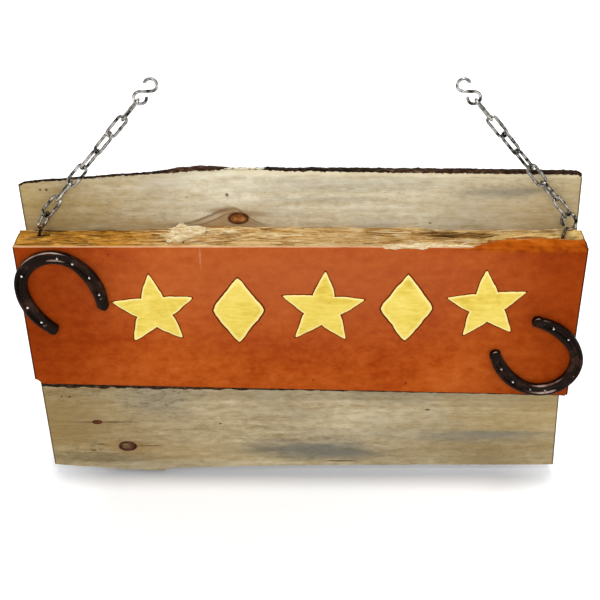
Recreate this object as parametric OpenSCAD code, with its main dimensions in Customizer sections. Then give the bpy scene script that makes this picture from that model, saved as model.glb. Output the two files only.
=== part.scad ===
// Hanging wooden tavern sign: a thick painted front board on two weathered back planks,
// with a horseshoe at each end, hung by two leaning chains from S-hooks.
// Lengths in millimetres. +X runs to the right along the board, +Y to the back, +Z up.
// The origin is midway between the two hooks, where the bars that carry them bear.

/* [Front board] */
// Length of the front board along its top edge
board_w = 750; // [600:1:900]
// Height of the front board at its left end
board_h_left = 220; // [190:1:280]
// Height of the front board at its right end
board_h_right = 240; // [190:1:280]
// Thickness of the front board
board_t = 47; // [42:0.5:60]
// How far the sloping end cuts shift the bottom edge to the right
board_skew = 3; // [0:0.5:10]
// Size of the broken lower left corner
corner_clip = 7; // [2:0.5:15]
// Length of the waney bevel at the right end of the top edge
wane_len = 225; // [120:5:350]
// Width of that bevel across the top at the right end
wane_depth = 24; // [10:1:26]
// Drop of that bevel at the front right corner
wane_drop = 4; // [2:0.5:8]

/* [Back planks] */
// Thickness of the back planks
plank_t = 16; // [12:0.5:25]
// Rise of the upper plank's left top corner above the front board
upper_rise_left = 71; // [40:1:90]
// Rise of the upper plank's crest above the front board
upper_rise_crest = 95; // [60:1:120]
// Rise of the upper plank's right top corner above the front board
upper_rise_right = 87; // [60:1:110]
// Distance of the crest from the front board's left end
crest_in = 245; // [150:5:400]
// How far the upper plank's top left corner lies inside the front board's left end
upper_in_left = 7; // [0:0.5:25]
// How far the upper plank's top right corner lies inside the front board's right end
upper_in_right = 10; // [0:0.5:25]
// How far the lower plank's top left corner lies outside the front board's left end
lower_out_left = 7; // [0:0.5:20]
// Shift of each plank's left end from its top to its bottom
plank_skew_left = 5; // [0:0.5:12]
// Shift of each plank's right end from its top to its bottom
plank_skew_right = 13; // [0:0.5:20]
// Depth of the seam between the planks below the front board's top
seam_drop = 157; // [120:1:180]
// Width of that seam
seam_gap = 1; // [0.5:0.1:3]
// Depth of the lower plank's bottom corners below the front board's top
lower_drop = 410; // [330:1:460]
// How far the belly of the lower plank's bottom edge hangs below those corners
belly_drop = 11; // [4:0.5:20]
// Distance of the belly's lowest point from the front board's left end
belly_in = 163; // [100:1:300]
// Length over which the belly runs out to the right
belly_len = 211; // [150:1:300]
// Height of the chip beside the belly's lowest point
belly_chip = 4; // [2:0.5:8]
// Backward slope of the upper plank's live edge, in degrees
live_slope = 9; // [3:1:20]
// Radius of the upper plank's worn top corners
plank_corner = 6; // [2:0.5:12]

/* [Chain] */
// Diameter of the link wire
link_wire = 4; // [3.4:0.1:4.3]
// Clear width inside a link
link_clear = 8; // [7.6:0.1:10]
// Distance from one link to the next along the chain
link_pitch = 29.4; // [26:0.1:36]
// Lean of each chain from upright, in degrees
chain_lean = 40.3; // [30:0.1:50]
// Play between wires that are linked
play = 0.3; // [0.2:0.05:0.6]

/* [Screw eyes] */
// Distance of the left chain's seat from the board's left end
left_eye_in = 39; // [34:1:60]
// Distance of the right chain's seat from the board's right end
right_eye_in = 23; // [18:1:45]
// Height of those seats above the front board's top
eye_height = 29.5; // [27:0.5:45]
// Depth of the hanging plane behind the front board's face
eye_depth = 34; // [30:0.5:38]
// Diameter of the eye wire
eye_wire = 4.6; // [4:0.1:5.2]
// Clear diameter of the eye ring
eye_ring = 17.5; // [16:0.5:20]
// Length of the eye's shank in the wood
eye_bite = 30; // [20:1:45]
// Lean of the left eye to the right, in degrees
eye_lean_left = 22; // [0:1:28]
// Lean of the right eye to the right, in degrees
eye_lean_right = 12; // [0:1:20]

/* [Hooks] */
// Diameter of the hook wire
hook_wire = 4; // [3.5:0.1:5]
// Clear diameter of each hook loop
hook_loop = 12; // [10:0.5:18]
// Length of the straight stretch between the two loops of a hook
hook_neck = 15; // [10:0.5:24]

/* [Horseshoes] */
// Outside width of a shoe
shoe_w = 117; // [112:1:128]
// Thickness of a shoe
shoe_t = 8; // [6:0.5:12]
// Width of the iron at the widest line
web_w = 19; // [16:0.5:22]
// How much smaller the outside radius of the toe is than half the shoe's width
toe_narrow = 4; // [2:0.5:8]
// How much smaller the inside radius of the toe is than half the inside width
toe_in_narrow = 1.2; // [0.5:0.1:3]
// Outside radius of the branches
side_r = 82; // [75:1:100]
// Inside radius of the branches
side_in_r = 98; // [85:1:120]
// Distance from the left shoe's widest line down to its rounded heels
left_heel_drop = 37.5; // [34:0.5:42]
// The same for the right shoe, which is the longer one
right_heel_drop = 43; // [38:0.5:46]
// Distance of the crease from the outside edge
crease_in = 5.5; // [4.5:0.5:7]
// Width of the crease
crease_w = 6.4; // [6.2:0.1:8]
// Depth of the crease
crease_depth = 3; // [2:0.25:4]
// Distance of the left shoe's middle from the board's left end
left_shoe_in = 55.5; // [50:0.5:120]
// Distance of the left shoe's middle below the board's top
left_shoe_down = 73; // [65:1:110]
// Turn of the left shoe, in degrees
left_shoe_angle = 28; // [0:1:60]
// Distance of the right shoe's middle from the board's right end
right_shoe_in = 48; // [45:1:120]
// Distance of the right shoe's middle above the board's right bottom corner
right_shoe_up = 67; // [65:1:110]
// Turn of the right shoe, in degrees
right_shoe_angle = -134; // [-170:1:-100]

/* [Fasteners] */
// Diameter of the horseshoe nails
nail_d = 3; // [2.5:0.1:3.5]
// Diameter of their heads
nail_head_d = 5.6; // [4.5:0.1:5.8]
// Length of a nail in the board
nail_bite = 16; // [10:1:19]
// Least distance of a nail from the board's edge
nail_edge = 5; // [4:0.5:10]
// Diameter of the wood screws
screw_d = 5; // [4:0.1:6]
// Diameter of their countersunk heads
screw_head_d = 9.6; // [8.5:0.1:11]
// Length of a screw in the front board
screw_bite = 24; // [15:1:26]
// Distance of the outer screws from the board's ends
screw_in = 70; // [60:1:120]
// Depth of the upper plank's outer screws below the front board's top
screw_down = 50; // [45:1:70]
// Height of the upper plank's inner screws above the seam
screw_up = 40; // [20:1:60]
// Clearance round nails, screws and shanks
fit_gap = 0.1; // [0.05:0.01:0.2]

/* [Hidden] */
$fn = 48;
LEFT = -1;
RIGHT = 1;
// Room added to a cutting shape so that it passes clear through what it cuts
cut_past = 20;
links = 7;
// Turn of each link about the chain, from the hook down: an extra quarter turn is spread along it
left_link_turn = [90, 18, -54, 54, -18, 90, -10];
right_link_turn = [90, -18, 54, -54, 18, -60, 48];
// Turn of each eye's ring about its own shank: the left one is nearly edge-on to the face
left_eye_turn = 70;
right_eye_turn = -50;
// Sweep of the eye's ring, which ends just short of its own neck
eye_sweep = 336;
eye_tip = 8;
// Width of a point's blunt end, as a share of its shank's diameter
blunt = 1 / 4;
eye_spacing = board_w - left_eye_in - right_eye_in;
// How far the middle of the eyes lies to the right of the middle of the board
hang_offset = (left_eye_in - right_eye_in) / 2;
link_bow_r = (link_clear + link_wire) / 2;
link_inner_len = link_pitch + play;
eye_bow_r = (eye_ring + eye_wire) / 2;
hook_bow_r = (hook_loop + hook_wire) / 2;
// Half the distance between the hook's loops, and the slant of the straight stretch that joins them
hook_half = norm([hook_bow_r, hook_neck / 2]);
hook_slant = atan2(2 * hook_bow_r, hook_neck);
hook_open_sweep = 246;
hook_closed_sweep = 274;
// Runs are measured down the chain from where the bar bears in the hook's upper loop
hook_reach = hook_half + hook_loop / 2;
first_run = 2 * hook_reach - play / 2;
seat_run = first_run + links * link_pitch;
hook_x = eye_spacing / 2 - seat_run * sin(chain_lean);
seat_z = -seat_run * cos(chain_lean);
face_y = -eye_depth;
back_y = face_y + board_t;
top_z = seat_z - eye_height;
mid_x = -hang_offset;
shoe_half = shoe_w / 2;
toe_r = shoe_half - toe_narrow;
toe_in_r = shoe_half - web_w - toe_in_narrow;
toe_mid = tangent_height(side_r, shoe_half, toe_r);
crease_mid = crease_in + crease_w / 2;
// Angle between the points of a shoe's arcs
arc_step = 4;
// Nail stations on each branch: one on the toe arc, then three down the side arc, in degrees
toe_station = 52;
side_stations = [28, 5, -17];
// The crease stops short of the toe and of the heels
crease_toe_gap = 15;
crease_heel_gap = 10;
nail_tip = 4;
nail_head_h = 2.2;
nail_head_taper = 1;
screw_tip = 8;
slot_w = 1.1;
slot_depth = 2;
screw_xs = [-1, -1 / 3, 1 / 3, 1];

function unit(v) = v / norm(v);

// Height of a toe arc's centre that makes it run smoothly into the branches' arcs
function tangent_height(r_side, half_w, r_toe) = sqrt(pow(r_side - r_toe, 2) - pow(r_side - half_w, 2));

function chain_up(side) = [-side * sin(chain_lean), 0, cos(chain_lean)];

function eye_seat(side) = [side * eye_spacing / 2, 0, seat_z];

// Directions across and up the ring of an eye that leans and is turned about its shank
function ring_across(lean, turn) = [cos(turn) * cos(lean), sin(turn), -cos(turn) * sin(lean)];
function ring_up(lean) = [sin(lean), 0, cos(lean)];

// Direction from the ring's middle to where the chain bears on it
function ring_pull(side, lean, turn) =
  unit(
    (chain_up(side) * ring_across(lean, turn)) * ring_across(lean, turn)
    + (chain_up(side) * ring_up(lean)) * ring_up(lean)
  );

function eye_middle(side, lean, turn) =
  eye_seat(side) + (eye_wire + play) / 2 * chain_up(side) - eye_bow_r * ring_pull(side, lean, turn);

// Length of an eye from its middle down its shank to the board's top
function eye_stand(side, lean, turn) = (eye_middle(side, lean, turn)[2] - top_z) / cos(lean);

// Ends and lower edge of the front board, below its top by a depth
function board_left(depth) = -board_w / 2 + board_skew * depth / board_h_left;
function board_right(depth) = board_w / 2 + board_skew * depth / board_h_right;
function board_bottom(x) = -board_h_left - (board_h_right - board_h_left) * (x + board_w / 2) / board_w;

function reversed(points) = [for (i = [len(points) - 1:-1:0]) points[i]];

// Points of an arc strictly between two angles, and the same with both its ends
function arc(at, r, from, to) =
  let (steps = ceil(abs(to - from) / arc_step))
  [for (i = [1:steps - 1]) arc_end(at, r, from + (to - from) * i / steps)];
function arc_end(at, r, angle) = at + r * [cos(angle), sin(angle)];
function whole_arc(at, r, from, to) =
  concat([arc_end(at, r, from)], arc(at, r, from, to), [arc_end(at, r, to)]);

// One side of a shoe's edge: the branch arc from a height up to the toe arc, and that to an angle
function branch(r_toe, r_side, half_w, low, toe_end) =
  let (
    side_at = [half_w - r_side, 0],
    toe_at = [0, tangent_height(r_side, half_w, r_toe)],
    meet = asin(toe_at[1] / (r_side - r_toe))
  )
  concat(whole_arc(side_at, r_side, asin(low / r_side), meet), arc(toe_at, r_toe, meet, toe_end),
    [arc_end(toe_at, r_toe, toe_end)]);

// A whole edge, from the right heel over the toe to the left heel
function loop(half) = concat(half, [for (i = [len(half) - 2:-1:0]) [-half[i][0], half[i][1]]]);

function crease_edge(inset, low) =
  branch(toe_r - inset, side_r - inset, shoe_half - inset, low, acos(crease_toe_gap / (toe_r - inset)));

// Nail stations of one shoe, in the shoe's own plane
function branch_stations(side) = concat(
  [[side * (toe_r - crease_mid) * cos(toe_station), toe_mid + (toe_r - crease_mid) * sin(toe_station)]],
  [for (a = side_stations)
    [side * (shoe_half - side_r + (side_r - crease_mid) * cos(a)), (side_r - crease_mid) * sin(a)]]
);
function turned(p, a) = [p[0] * cos(a) - p[1] * sin(a), p[0] * sin(a) + p[1] * cos(a)];
function over_board(p) =
  p[0] > board_left(-p[1]) + nail_edge && p[0] < board_right(-p[1]) - nail_edge
  && p[1] < -nail_edge && p[1] > board_bottom(p[0]) + nail_edge;

left_shoe_at = [-board_w / 2 + left_shoe_in, -left_shoe_down];
right_shoe_at = [board_w / 2 - right_shoe_in, -board_h_right + right_shoe_up];
shoe_stations = concat(branch_stations(LEFT), branch_stations(RIGHT));
function nail_places(at, angle) =
  [for (p = shoe_stations) let (q = at + turned(p, angle)) if (over_board(q)) q];
left_nails = nail_places(left_shoe_at, left_shoe_angle);
right_nails = nail_places(right_shoe_at, right_shoe_angle);

// Screw places on each plank: the upper row zigzags, the lower row runs midway below the seam
screw_span = board_w / 2 - screw_in;
upper_screws = [for (x = screw_xs) [x * screw_span, abs(x) == 1 ? -screw_down : -seam_drop + screw_up]];
lower_screws = [for (x = screw_xs) [x * screw_span, -(seam_drop + min(board_h_left, board_h_right)) / 2]];

// Moves a piece from the sign's own plane, with its top middle at [0, 0], to its hanging place
module on_sign(y) {
  translate([mid_x, y, top_z])
    rotate([90, 0, 0])
      children();
}

// Puts a piece on a chain's line, some way down from the hook's seat, upright along the chain
module on_chain(side, run) {
  translate([side * (hook_x + run * sin(chain_lean)), 0, -run * cos(chain_lean)])
    rotate([0, -side * chain_lean, 0])
      children();
}

module on_eye(side, lean, turn) {
  translate(eye_middle(side, lean, turn))
    rotate([0, lean, 0])
      rotate([0, 0, turn])
        children();
}

// Round wire bent to an arc in the XZ plane, from one angle on by a sweep
module wire_arc(bow_r, wire, from, sweep) {
  rotate([90, 0, 0])
    rotate(from)
      rotate_extrude(angle = sweep)
        translate([bow_r, 0])
          circle(d = wire, $fn = 24);
}

// Front board
module board_outline() {
  polygon([
    [-board_w / 2, 0],
    [board_w / 2, 0],
    [board_w / 2 + board_skew, -board_h_right],
    [-board_w / 2 + board_skew + corner_clip, board_bottom(-board_w / 2 + corner_clip)],
    [board_left(board_h_left - corner_clip), -board_h_left + corner_clip]
  ]);
}

// The bevel is one plane that rises from nothing to its full width at the right end
module wane_cut() {
  normal = [wane_drop * wane_depth, -wane_drop * wane_len, wane_len * wane_depth];
  translate([mid_x + board_w / 2 - wane_len, face_y, top_z])
    rotate([asin(-unit(normal)[1]), atan2(normal[0], normal[2]), 0])
      translate([-cut_past, -cut_past, 0])
        cube([wane_len + 3 * cut_past, board_t, cut_past]);
}

module eye_shank_room(side, lean, turn) {
  stand = eye_stand(side, lean, turn);
  on_eye(side, lean, turn)
    translate([0, 0, -stand - eye_bite - fit_gap])
      cylinder(d = eye_wire + 2 * fit_gap, h = eye_bite + eye_bow_r);
}

module front_board() {
  color([0.64, 0.31, 0.13])
    difference() {
      on_sign(back_y)
        linear_extrude(board_t)
          board_outline();
      wane_cut();
      eye_shank_room(LEFT, eye_lean_left, left_eye_turn);
      eye_shank_room(RIGHT, eye_lean_right, right_eye_turn);
      for (p = concat(left_nails, right_nails))
        on_sign(face_y + nail_bite + fit_gap)
          translate(p)
            cylinder(d = nail_d + 2 * fit_gap, h = nail_bite + cut_past);
      for (p = concat(upper_screws, lower_screws))
        on_sign(back_y + cut_past)
          translate(p)
            cylinder(d = screw_d + 2 * fit_gap, h = screw_bite + fit_gap + cut_past);
    }
}

// Back planks
module plank_screw_room(places) {
  for (p = places)
    on_sign(back_y + plank_t)
      translate(p) {
        translate([0, 0, -cut_past])
          cylinder(d = screw_d + 2 * fit_gap, h = plank_t + 2 * cut_past);
        screw_head(fit_gap);
      }
}

module upper_outline() {
  left = -board_w / 2 + upper_in_left;
  right = board_w / 2 - upper_in_right;
  polygon([
    [left, upper_rise_left - plank_corner],
    [left + plank_corner, upper_rise_left],
    [-board_w / 2 + crest_in, upper_rise_crest],
    [right - plank_corner, upper_rise_right],
    [right, upper_rise_right - plank_corner],
    [right + plank_skew_right, -seam_drop],
    [left + plank_skew_left, -seam_drop]
  ]);
}

// Slopes the live edge back along one straight stretch of the upper plank's top
module live_cut(from, to) {
  run = to - from;
  on_sign(back_y)
    translate(from)
      rotate(atan2(run[1], run[0]))
        rotate([live_slope, 0, 0])
          translate([-cut_past, 0, -plank_t - cut_past])
            cube([norm(run) + 2 * cut_past, 2 * cut_past, plank_t + 2 * cut_past]);
}

module upper_back_plank() {
  left = [-board_w / 2 + upper_in_left + plank_corner, upper_rise_left];
  crest = [-board_w / 2 + crest_in, upper_rise_crest];
  right = [board_w / 2 - upper_in_right - plank_corner, upper_rise_right];
  color([0.73, 0.66, 0.53])
    difference() {
      on_sign(back_y + plank_t)
        linear_extrude(plank_t)
          upper_outline();
      live_cut(left, crest);
      live_cut(crest, right);
      plank_screw_room(upper_screws);
    }
}

module lower_outline() {
  left = -board_w / 2 - lower_out_left;
  belly = [-board_w / 2 + belly_in, -lower_drop - belly_drop];
  polygon([
    [left, -seam_drop - seam_gap],
    [board_w / 2, -seam_drop - seam_gap],
    [board_w / 2 + plank_skew_right, -lower_drop],
    [belly[0] + belly_len, -lower_drop],
    belly + [belly_chip, belly_chip],
    belly,
    [left + plank_skew_left, -lower_drop]
  ]);
}

module lower_back_plank() {
  color([0.68, 0.6, 0.47])
    difference() {
      on_sign(back_y + plank_t)
        linear_extrude(plank_t)
          lower_outline();
      plank_screw_room(lower_screws);
    }
}

// Wood screws, driven from the back: +Z of the sign's plane points to the front
module screw_head(grow) {
  head_h = (screw_head_d - screw_d) / 2;
  cylinder(d1 = screw_head_d + 2 * grow, d2 = screw_d + 2 * grow, h = head_h);
}

module wood_screws(places) {
  shank = plank_t + screw_bite - screw_tip;
  color("goldenrod")
    for (p = places)
      on_sign(back_y + plank_t)
        translate(p)
          difference() {
            union() {
              screw_head(0);
              cylinder(d = screw_d, h = shank);
              translate([0, 0, shank])
                cylinder(d1 = screw_d, d2 = blunt * screw_d, h = screw_tip);
            }
            for (a = [0, 90])
              rotate(a)
                translate([-screw_d / 2, -slot_w / 2, -cut_past])
                  cube([screw_d, slot_w, slot_depth + cut_past]);
          }
}

module upper_plank_screws() {
  wood_screws(upper_screws);
}

module lower_plank_screws() {
  wood_screws(lower_screws);
}

// Screw eyes
module screw_eye(side, lean, turn) {
  stand = eye_stand(side, lean, turn);
  color("silver")
    on_eye(side, lean, turn) {
      wire_arc(eye_bow_r, eye_wire, -90, eye_sweep);
      translate([0, 0, -stand - eye_bite + eye_tip])
        cylinder(d = eye_wire, h = stand + eye_bite - eye_tip - eye_bow_r);
      translate([0, 0, -stand - eye_bite])
        cylinder(d1 = blunt * eye_wire, d2 = eye_wire, h = eye_tip);
    }
}

module left_screw_eye() {
  screw_eye(LEFT, eye_lean_left, left_eye_turn);
}

module right_screw_eye() {
  screw_eye(RIGHT, eye_lean_right, right_eye_turn);
}

// Chain links: two half rings joined by two straight sides
module link() {
  straight = link_inner_len - link_clear;
  for (end = [0, 1])
    rotate([0, 180 * end, 0])
      translate([0, 0, straight / 2])
        wire_arc(link_bow_r, link_wire, 0, 180);
  for (side = [LEFT, RIGHT])
    translate([side * link_bow_r, 0, -straight / 2])
      cylinder(d = link_wire, h = straight, $fn = 24);
}

module chain_link(side, number) {
  turns = side == LEFT ? left_link_turn : right_link_turn;
  color("lightgray")
    on_chain(side, first_run + (number - 0.5) * link_pitch)
      rotate(turns[number - 1])
        link();
}

// S-hooks: the upper loop stays open, the lower one is pinched shut on the chain
module hook_shape() {
  rotate([0, hook_slant, 0]) {
    translate([-hook_bow_r, 0, hook_neck / 2])
      wire_arc(hook_bow_r, hook_wire, 0, hook_open_sweep);
    translate([hook_bow_r, 0, -hook_neck / 2])
      wire_arc(hook_bow_r, hook_wire, 180, hook_closed_sweep);
    translate([0, 0, -hook_neck / 2])
      cylinder(d = hook_wire, h = hook_neck, $fn = 24);
  }
}

module left_hook() {
  color("gray")
    on_chain(LEFT, hook_reach)
      hook_shape();
}

module right_hook() {
  color("gray")
    on_chain(RIGHT, hook_reach)
      mirror([1, 0, 0])
        hook_shape();
}

// Horseshoes: toe and branch arcs that meet smoothly, in the shoe's own plane
module shoe_outline(heel_drop) {
  outer = loop(branch(toe_r, side_r, shoe_half, -heel_drop, 90));
  inner = loop(branch(toe_in_r, side_in_r, shoe_half - web_w, -heel_drop, 90));
  outer_x = outer[0][0];
  inner_x = inner[0][0];
  heel_r = (outer_x - inner_x) / 2;
  heel_x = (outer_x + inner_x) / 2;
  polygon(concat(
    outer,
    arc([-heel_x, -heel_drop], heel_r, 180, 360),
    reversed(inner),
    arc([heel_x, -heel_drop], heel_r, 180, 360)
  ));
}

module crease_outline(heel_drop) {
  low = crease_heel_gap - heel_drop;
  outer = crease_edge(crease_in, low);
  inner = crease_edge(crease_in + crease_w, low);
  for (side = [LEFT, RIGHT])
    polygon([for (p = concat(outer, reversed(inner))) [side * p[0], p[1]]]);
}

module horseshoe(at, turn, heel_drop) {
  color([0.16, 0.12, 0.1])
    on_sign(face_y)
      translate(at)
        rotate(turn)
          difference() {
            linear_extrude(shoe_t)
              shoe_outline(heel_drop);
            translate([0, 0, shoe_t - crease_depth])
              linear_extrude(crease_depth + cut_past)
                crease_outline(heel_drop);
            for (p = shoe_stations)
              translate([p[0], p[1], -cut_past])
                cylinder(d = nail_d + 2 * fit_gap, h = shoe_t + 2 * cut_past);
          }
}

module left_horseshoe() {
  horseshoe(left_shoe_at, left_shoe_angle, left_heel_drop);
}

module right_horseshoe() {
  horseshoe(right_shoe_at, right_shoe_angle, right_heel_drop);
}

// Horseshoe nails: low round heads that seat in the crease
module shoe_nails(places) {
  shoe_left = shoe_t - crease_depth;
  color([0.3, 0.28, 0.26])
    for (p = places)
      on_sign(face_y + nail_bite)
        translate(p) {
          cylinder(d1 = blunt * nail_d, d2 = nail_d, h = nail_tip);
          translate([0, 0, nail_tip])
            cylinder(d = nail_d, h = nail_bite + shoe_left - nail_tip);
          translate([0, 0, nail_bite + shoe_left])
            cylinder(d1 = nail_head_d, d2 = nail_head_d - nail_head_taper, h = nail_head_h);
        }
}

module left_shoe_nails() {
  shoe_nails(left_nails);
}

module right_shoe_nails() {
  shoe_nails(right_nails);
}

front_board();
upper_back_plank();
lower_back_plank();
left_screw_eye();
right_screw_eye();
left_hook();
right_hook();
for (n = [1:links]) {
  chain_link(LEFT, n);
  chain_link(RIGHT, n);
}
left_horseshoe();
right_horseshoe();
left_shoe_nails();
right_shoe_nails();
upper_plank_screws();
lower_plank_screws();
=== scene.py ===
# %% [markdown]
# # A hanging wooden sign
# A thick painted board is screwed to two weathered planks. A horseshoe is nailed to each end of it,
# and two chains carry it by screw eyes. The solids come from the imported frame, so everything here only
# dresses them: each piece below takes the place of a solid, gives it a finish, or adds fine detail to it.

# %% Load the frame
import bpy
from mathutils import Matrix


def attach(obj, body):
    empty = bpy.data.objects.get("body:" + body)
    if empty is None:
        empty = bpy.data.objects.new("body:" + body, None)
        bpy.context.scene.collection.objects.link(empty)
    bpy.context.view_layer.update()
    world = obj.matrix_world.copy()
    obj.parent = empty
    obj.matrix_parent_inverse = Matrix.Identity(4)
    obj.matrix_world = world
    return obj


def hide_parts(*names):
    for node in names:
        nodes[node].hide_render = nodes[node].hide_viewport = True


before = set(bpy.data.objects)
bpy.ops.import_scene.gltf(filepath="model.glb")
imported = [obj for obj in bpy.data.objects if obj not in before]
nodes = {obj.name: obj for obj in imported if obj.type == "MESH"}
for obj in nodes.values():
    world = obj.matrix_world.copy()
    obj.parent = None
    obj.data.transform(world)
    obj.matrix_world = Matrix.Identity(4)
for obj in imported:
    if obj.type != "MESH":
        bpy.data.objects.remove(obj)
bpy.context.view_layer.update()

import math
import bmesh
import bpy
import numpy as np
from mathutils import Vector, noise

MM = 0.001

# %% [markdown]
# ## Pieces from points
# Every piece is built in millimetres and turned to metres once, where its mesh is made. A piece's object
# stays at the origin, so that its finish can read plain object coordinates, and it rides on a body of the
# frame. Loose ends are avoided by lofting closed rings and capping both ends.

# %% Make a piece
def add_object(name, data):
    """A new object at the origin, linked to the scene."""
    made = bpy.data.objects.new(name, data)
    bpy.context.scene.collection.objects.link(made)
    return made


def mesh_object(name, points, faces, finish, sharp=40):
    """A mesh object at the origin from points in millimetres, with its faces turned outwards."""
    mesh = bpy.data.meshes.new(name)
    mesh.from_pydata((np.asarray(points, dtype=float) * MM).tolist(), [], faces)
    shell = bmesh.new()
    shell.from_mesh(mesh)
    bmesh.ops.recalc_face_normals(shell, faces=shell.faces)
    shell.to_mesh(mesh)
    shell.free()
    mesh.shade_smooth()
    mesh.set_sharp_from_angle(angle=math.radians(sharp))
    mesh.materials.append(finish)
    return add_object(name, mesh)


def join_frame(piece, body, stands_for=()):
    """Lets a piece ride on a body and stand for solids."""
    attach(piece, body)
    if stands_for:
        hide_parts(*stands_for)
    print("piece:", piece.name, len(piece.data.polygons), "faces on", body)


def loft(rings):
    """Points and faces of a closed tube through rings of equal length, with both ends capped."""
    rings = np.asarray(rings, dtype=float)
    count, around = rings.shape[:2]
    faces = []
    for i in range(count - 1):
        for j in range(around):
            k = (j + 1) % around
            faces.append((i * around + j, i * around + k, (i + 1) * around + k, (i + 1) * around + j))
    faces.append(tuple(range(around)))
    faces.append(tuple((count - 1) * around + j for j in range(around)))
    return rings.reshape(-1, 3), faces


def set_values(piece, name, values):
    """Stores one number per point, for the finish to read."""
    layer = piece.data.attributes.new(name, "FLOAT", "POINT")
    layer.data.foreach_set("value", np.asarray(values, dtype=np.float32))

# %% [markdown]
# Hand-made and weathered things have no straight line. Two kinds of numbers bring that in: fractal noise,
# which wanders smoothly between about -1 and 1, and an ease, which goes from 0 to 1 without a corner.

# %% Noise and easing
def rough(point, scale, octaves, seed):
    """Smooth fractal noise between about -1 and 1, at a point in millimetres."""
    p = Vector((point[0] * scale[0] + seed, point[1] * scale[1] - seed, point[2] * scale[2] + 2 * seed))
    return noise.fractal(p, 1.0, 2.0, octaves)


def roughs(points, scale, octaves, seed):
    """The same noise at many points, as an array."""
    return np.array([rough(p, scale, octaves, seed) for p in points])


def wander(x, scale, octaves, seed):
    """The same noise along a line."""
    return rough((x, 0, 0), (scale, 0, 0), octaves, seed)


def ease(value, low, high):
    """0 below low, 1 above high and smooth between, for single numbers and for arrays."""
    t = np.clip((np.asarray(value, dtype=float) - low) / (high - low), 0.0, 1.0)
    return t * t * (3.0 - 2.0 * t)


def straight(points):
    """A line through points, as a function of its first coordinate."""
    xs, ys = zip(*points)
    return lambda x: float(np.interp(x, xs, ys))


def on_circle(degrees, radius=1.0):
    """Across and up of a point on a circle."""
    a = math.radians(degrees)
    return radius * math.cos(a), radius * math.sin(a)

# %% [markdown]
# ## Finishes from nodes
# A finish is a small program of shader nodes. Writing `a * b + c` is easier to read than a page of node
# calls, so a wrapped socket builds a Math node for each sign. Patterns read object coordinates in metres.
# Colours are written as on a screen, 0 to 255 for red, green and blue.

# %% Fields
class Field:
    """A number that varies over a surface. Arithmetic on it adds Math nodes to its tree."""

    def __init__(self, tree, socket):
        self.tree = tree
        self.socket = socket

    def math(self, operation, *others):
        made = self.tree.nodes.new("ShaderNodeMath")
        made.operation = operation
        for slot, value in zip(made.inputs, (self,) + others):
            feed(self.tree, slot, value)
        return Field(self.tree, made.outputs[0])

    def __add__(self, other):
        return self.math("ADD", other)

    def __sub__(self, other):
        return self.math("SUBTRACT", other)

    def __mul__(self, other):
        return self.math("MULTIPLY", other)

    def __truediv__(self, other):
        return self.math("DIVIDE", other)

    def smooth(self, low, high):
        """0 at low, 1 at high and smooth between; low may be the larger one."""
        made = self.tree.nodes.new("ShaderNodeMapRange")
        made.interpolation_type = "SMOOTHSTEP"
        for slot, value in zip(made.inputs, (self, low, high, 0.0, 1.0)):
            feed(self.tree, slot, value)
        return Field(self.tree, made.outputs[0])


def linear(red, green, blue):
    """A colour of 0 to 255 per channel, as seen on a screen, in the linear values that nodes use."""
    def one(value):
        share = value / 255.0
        return share / 12.92 if share <= 0.04045 else ((share + 0.055) / 1.055) ** 2.4
    return (one(red), one(green), one(blue), 1.0)


def feed(tree, slot, value):
    """Links a field or a socket to a slot, or sets a plain value or a screen colour there."""
    if isinstance(value, Field):
        tree.links.new(value.socket, slot)
    elif isinstance(value, bpy.types.NodeSocket):
        tree.links.new(value, slot)
    elif slot.type == "RGBA":
        slot.default_value = linear(*value)
    else:
        slot.default_value = value

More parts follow.
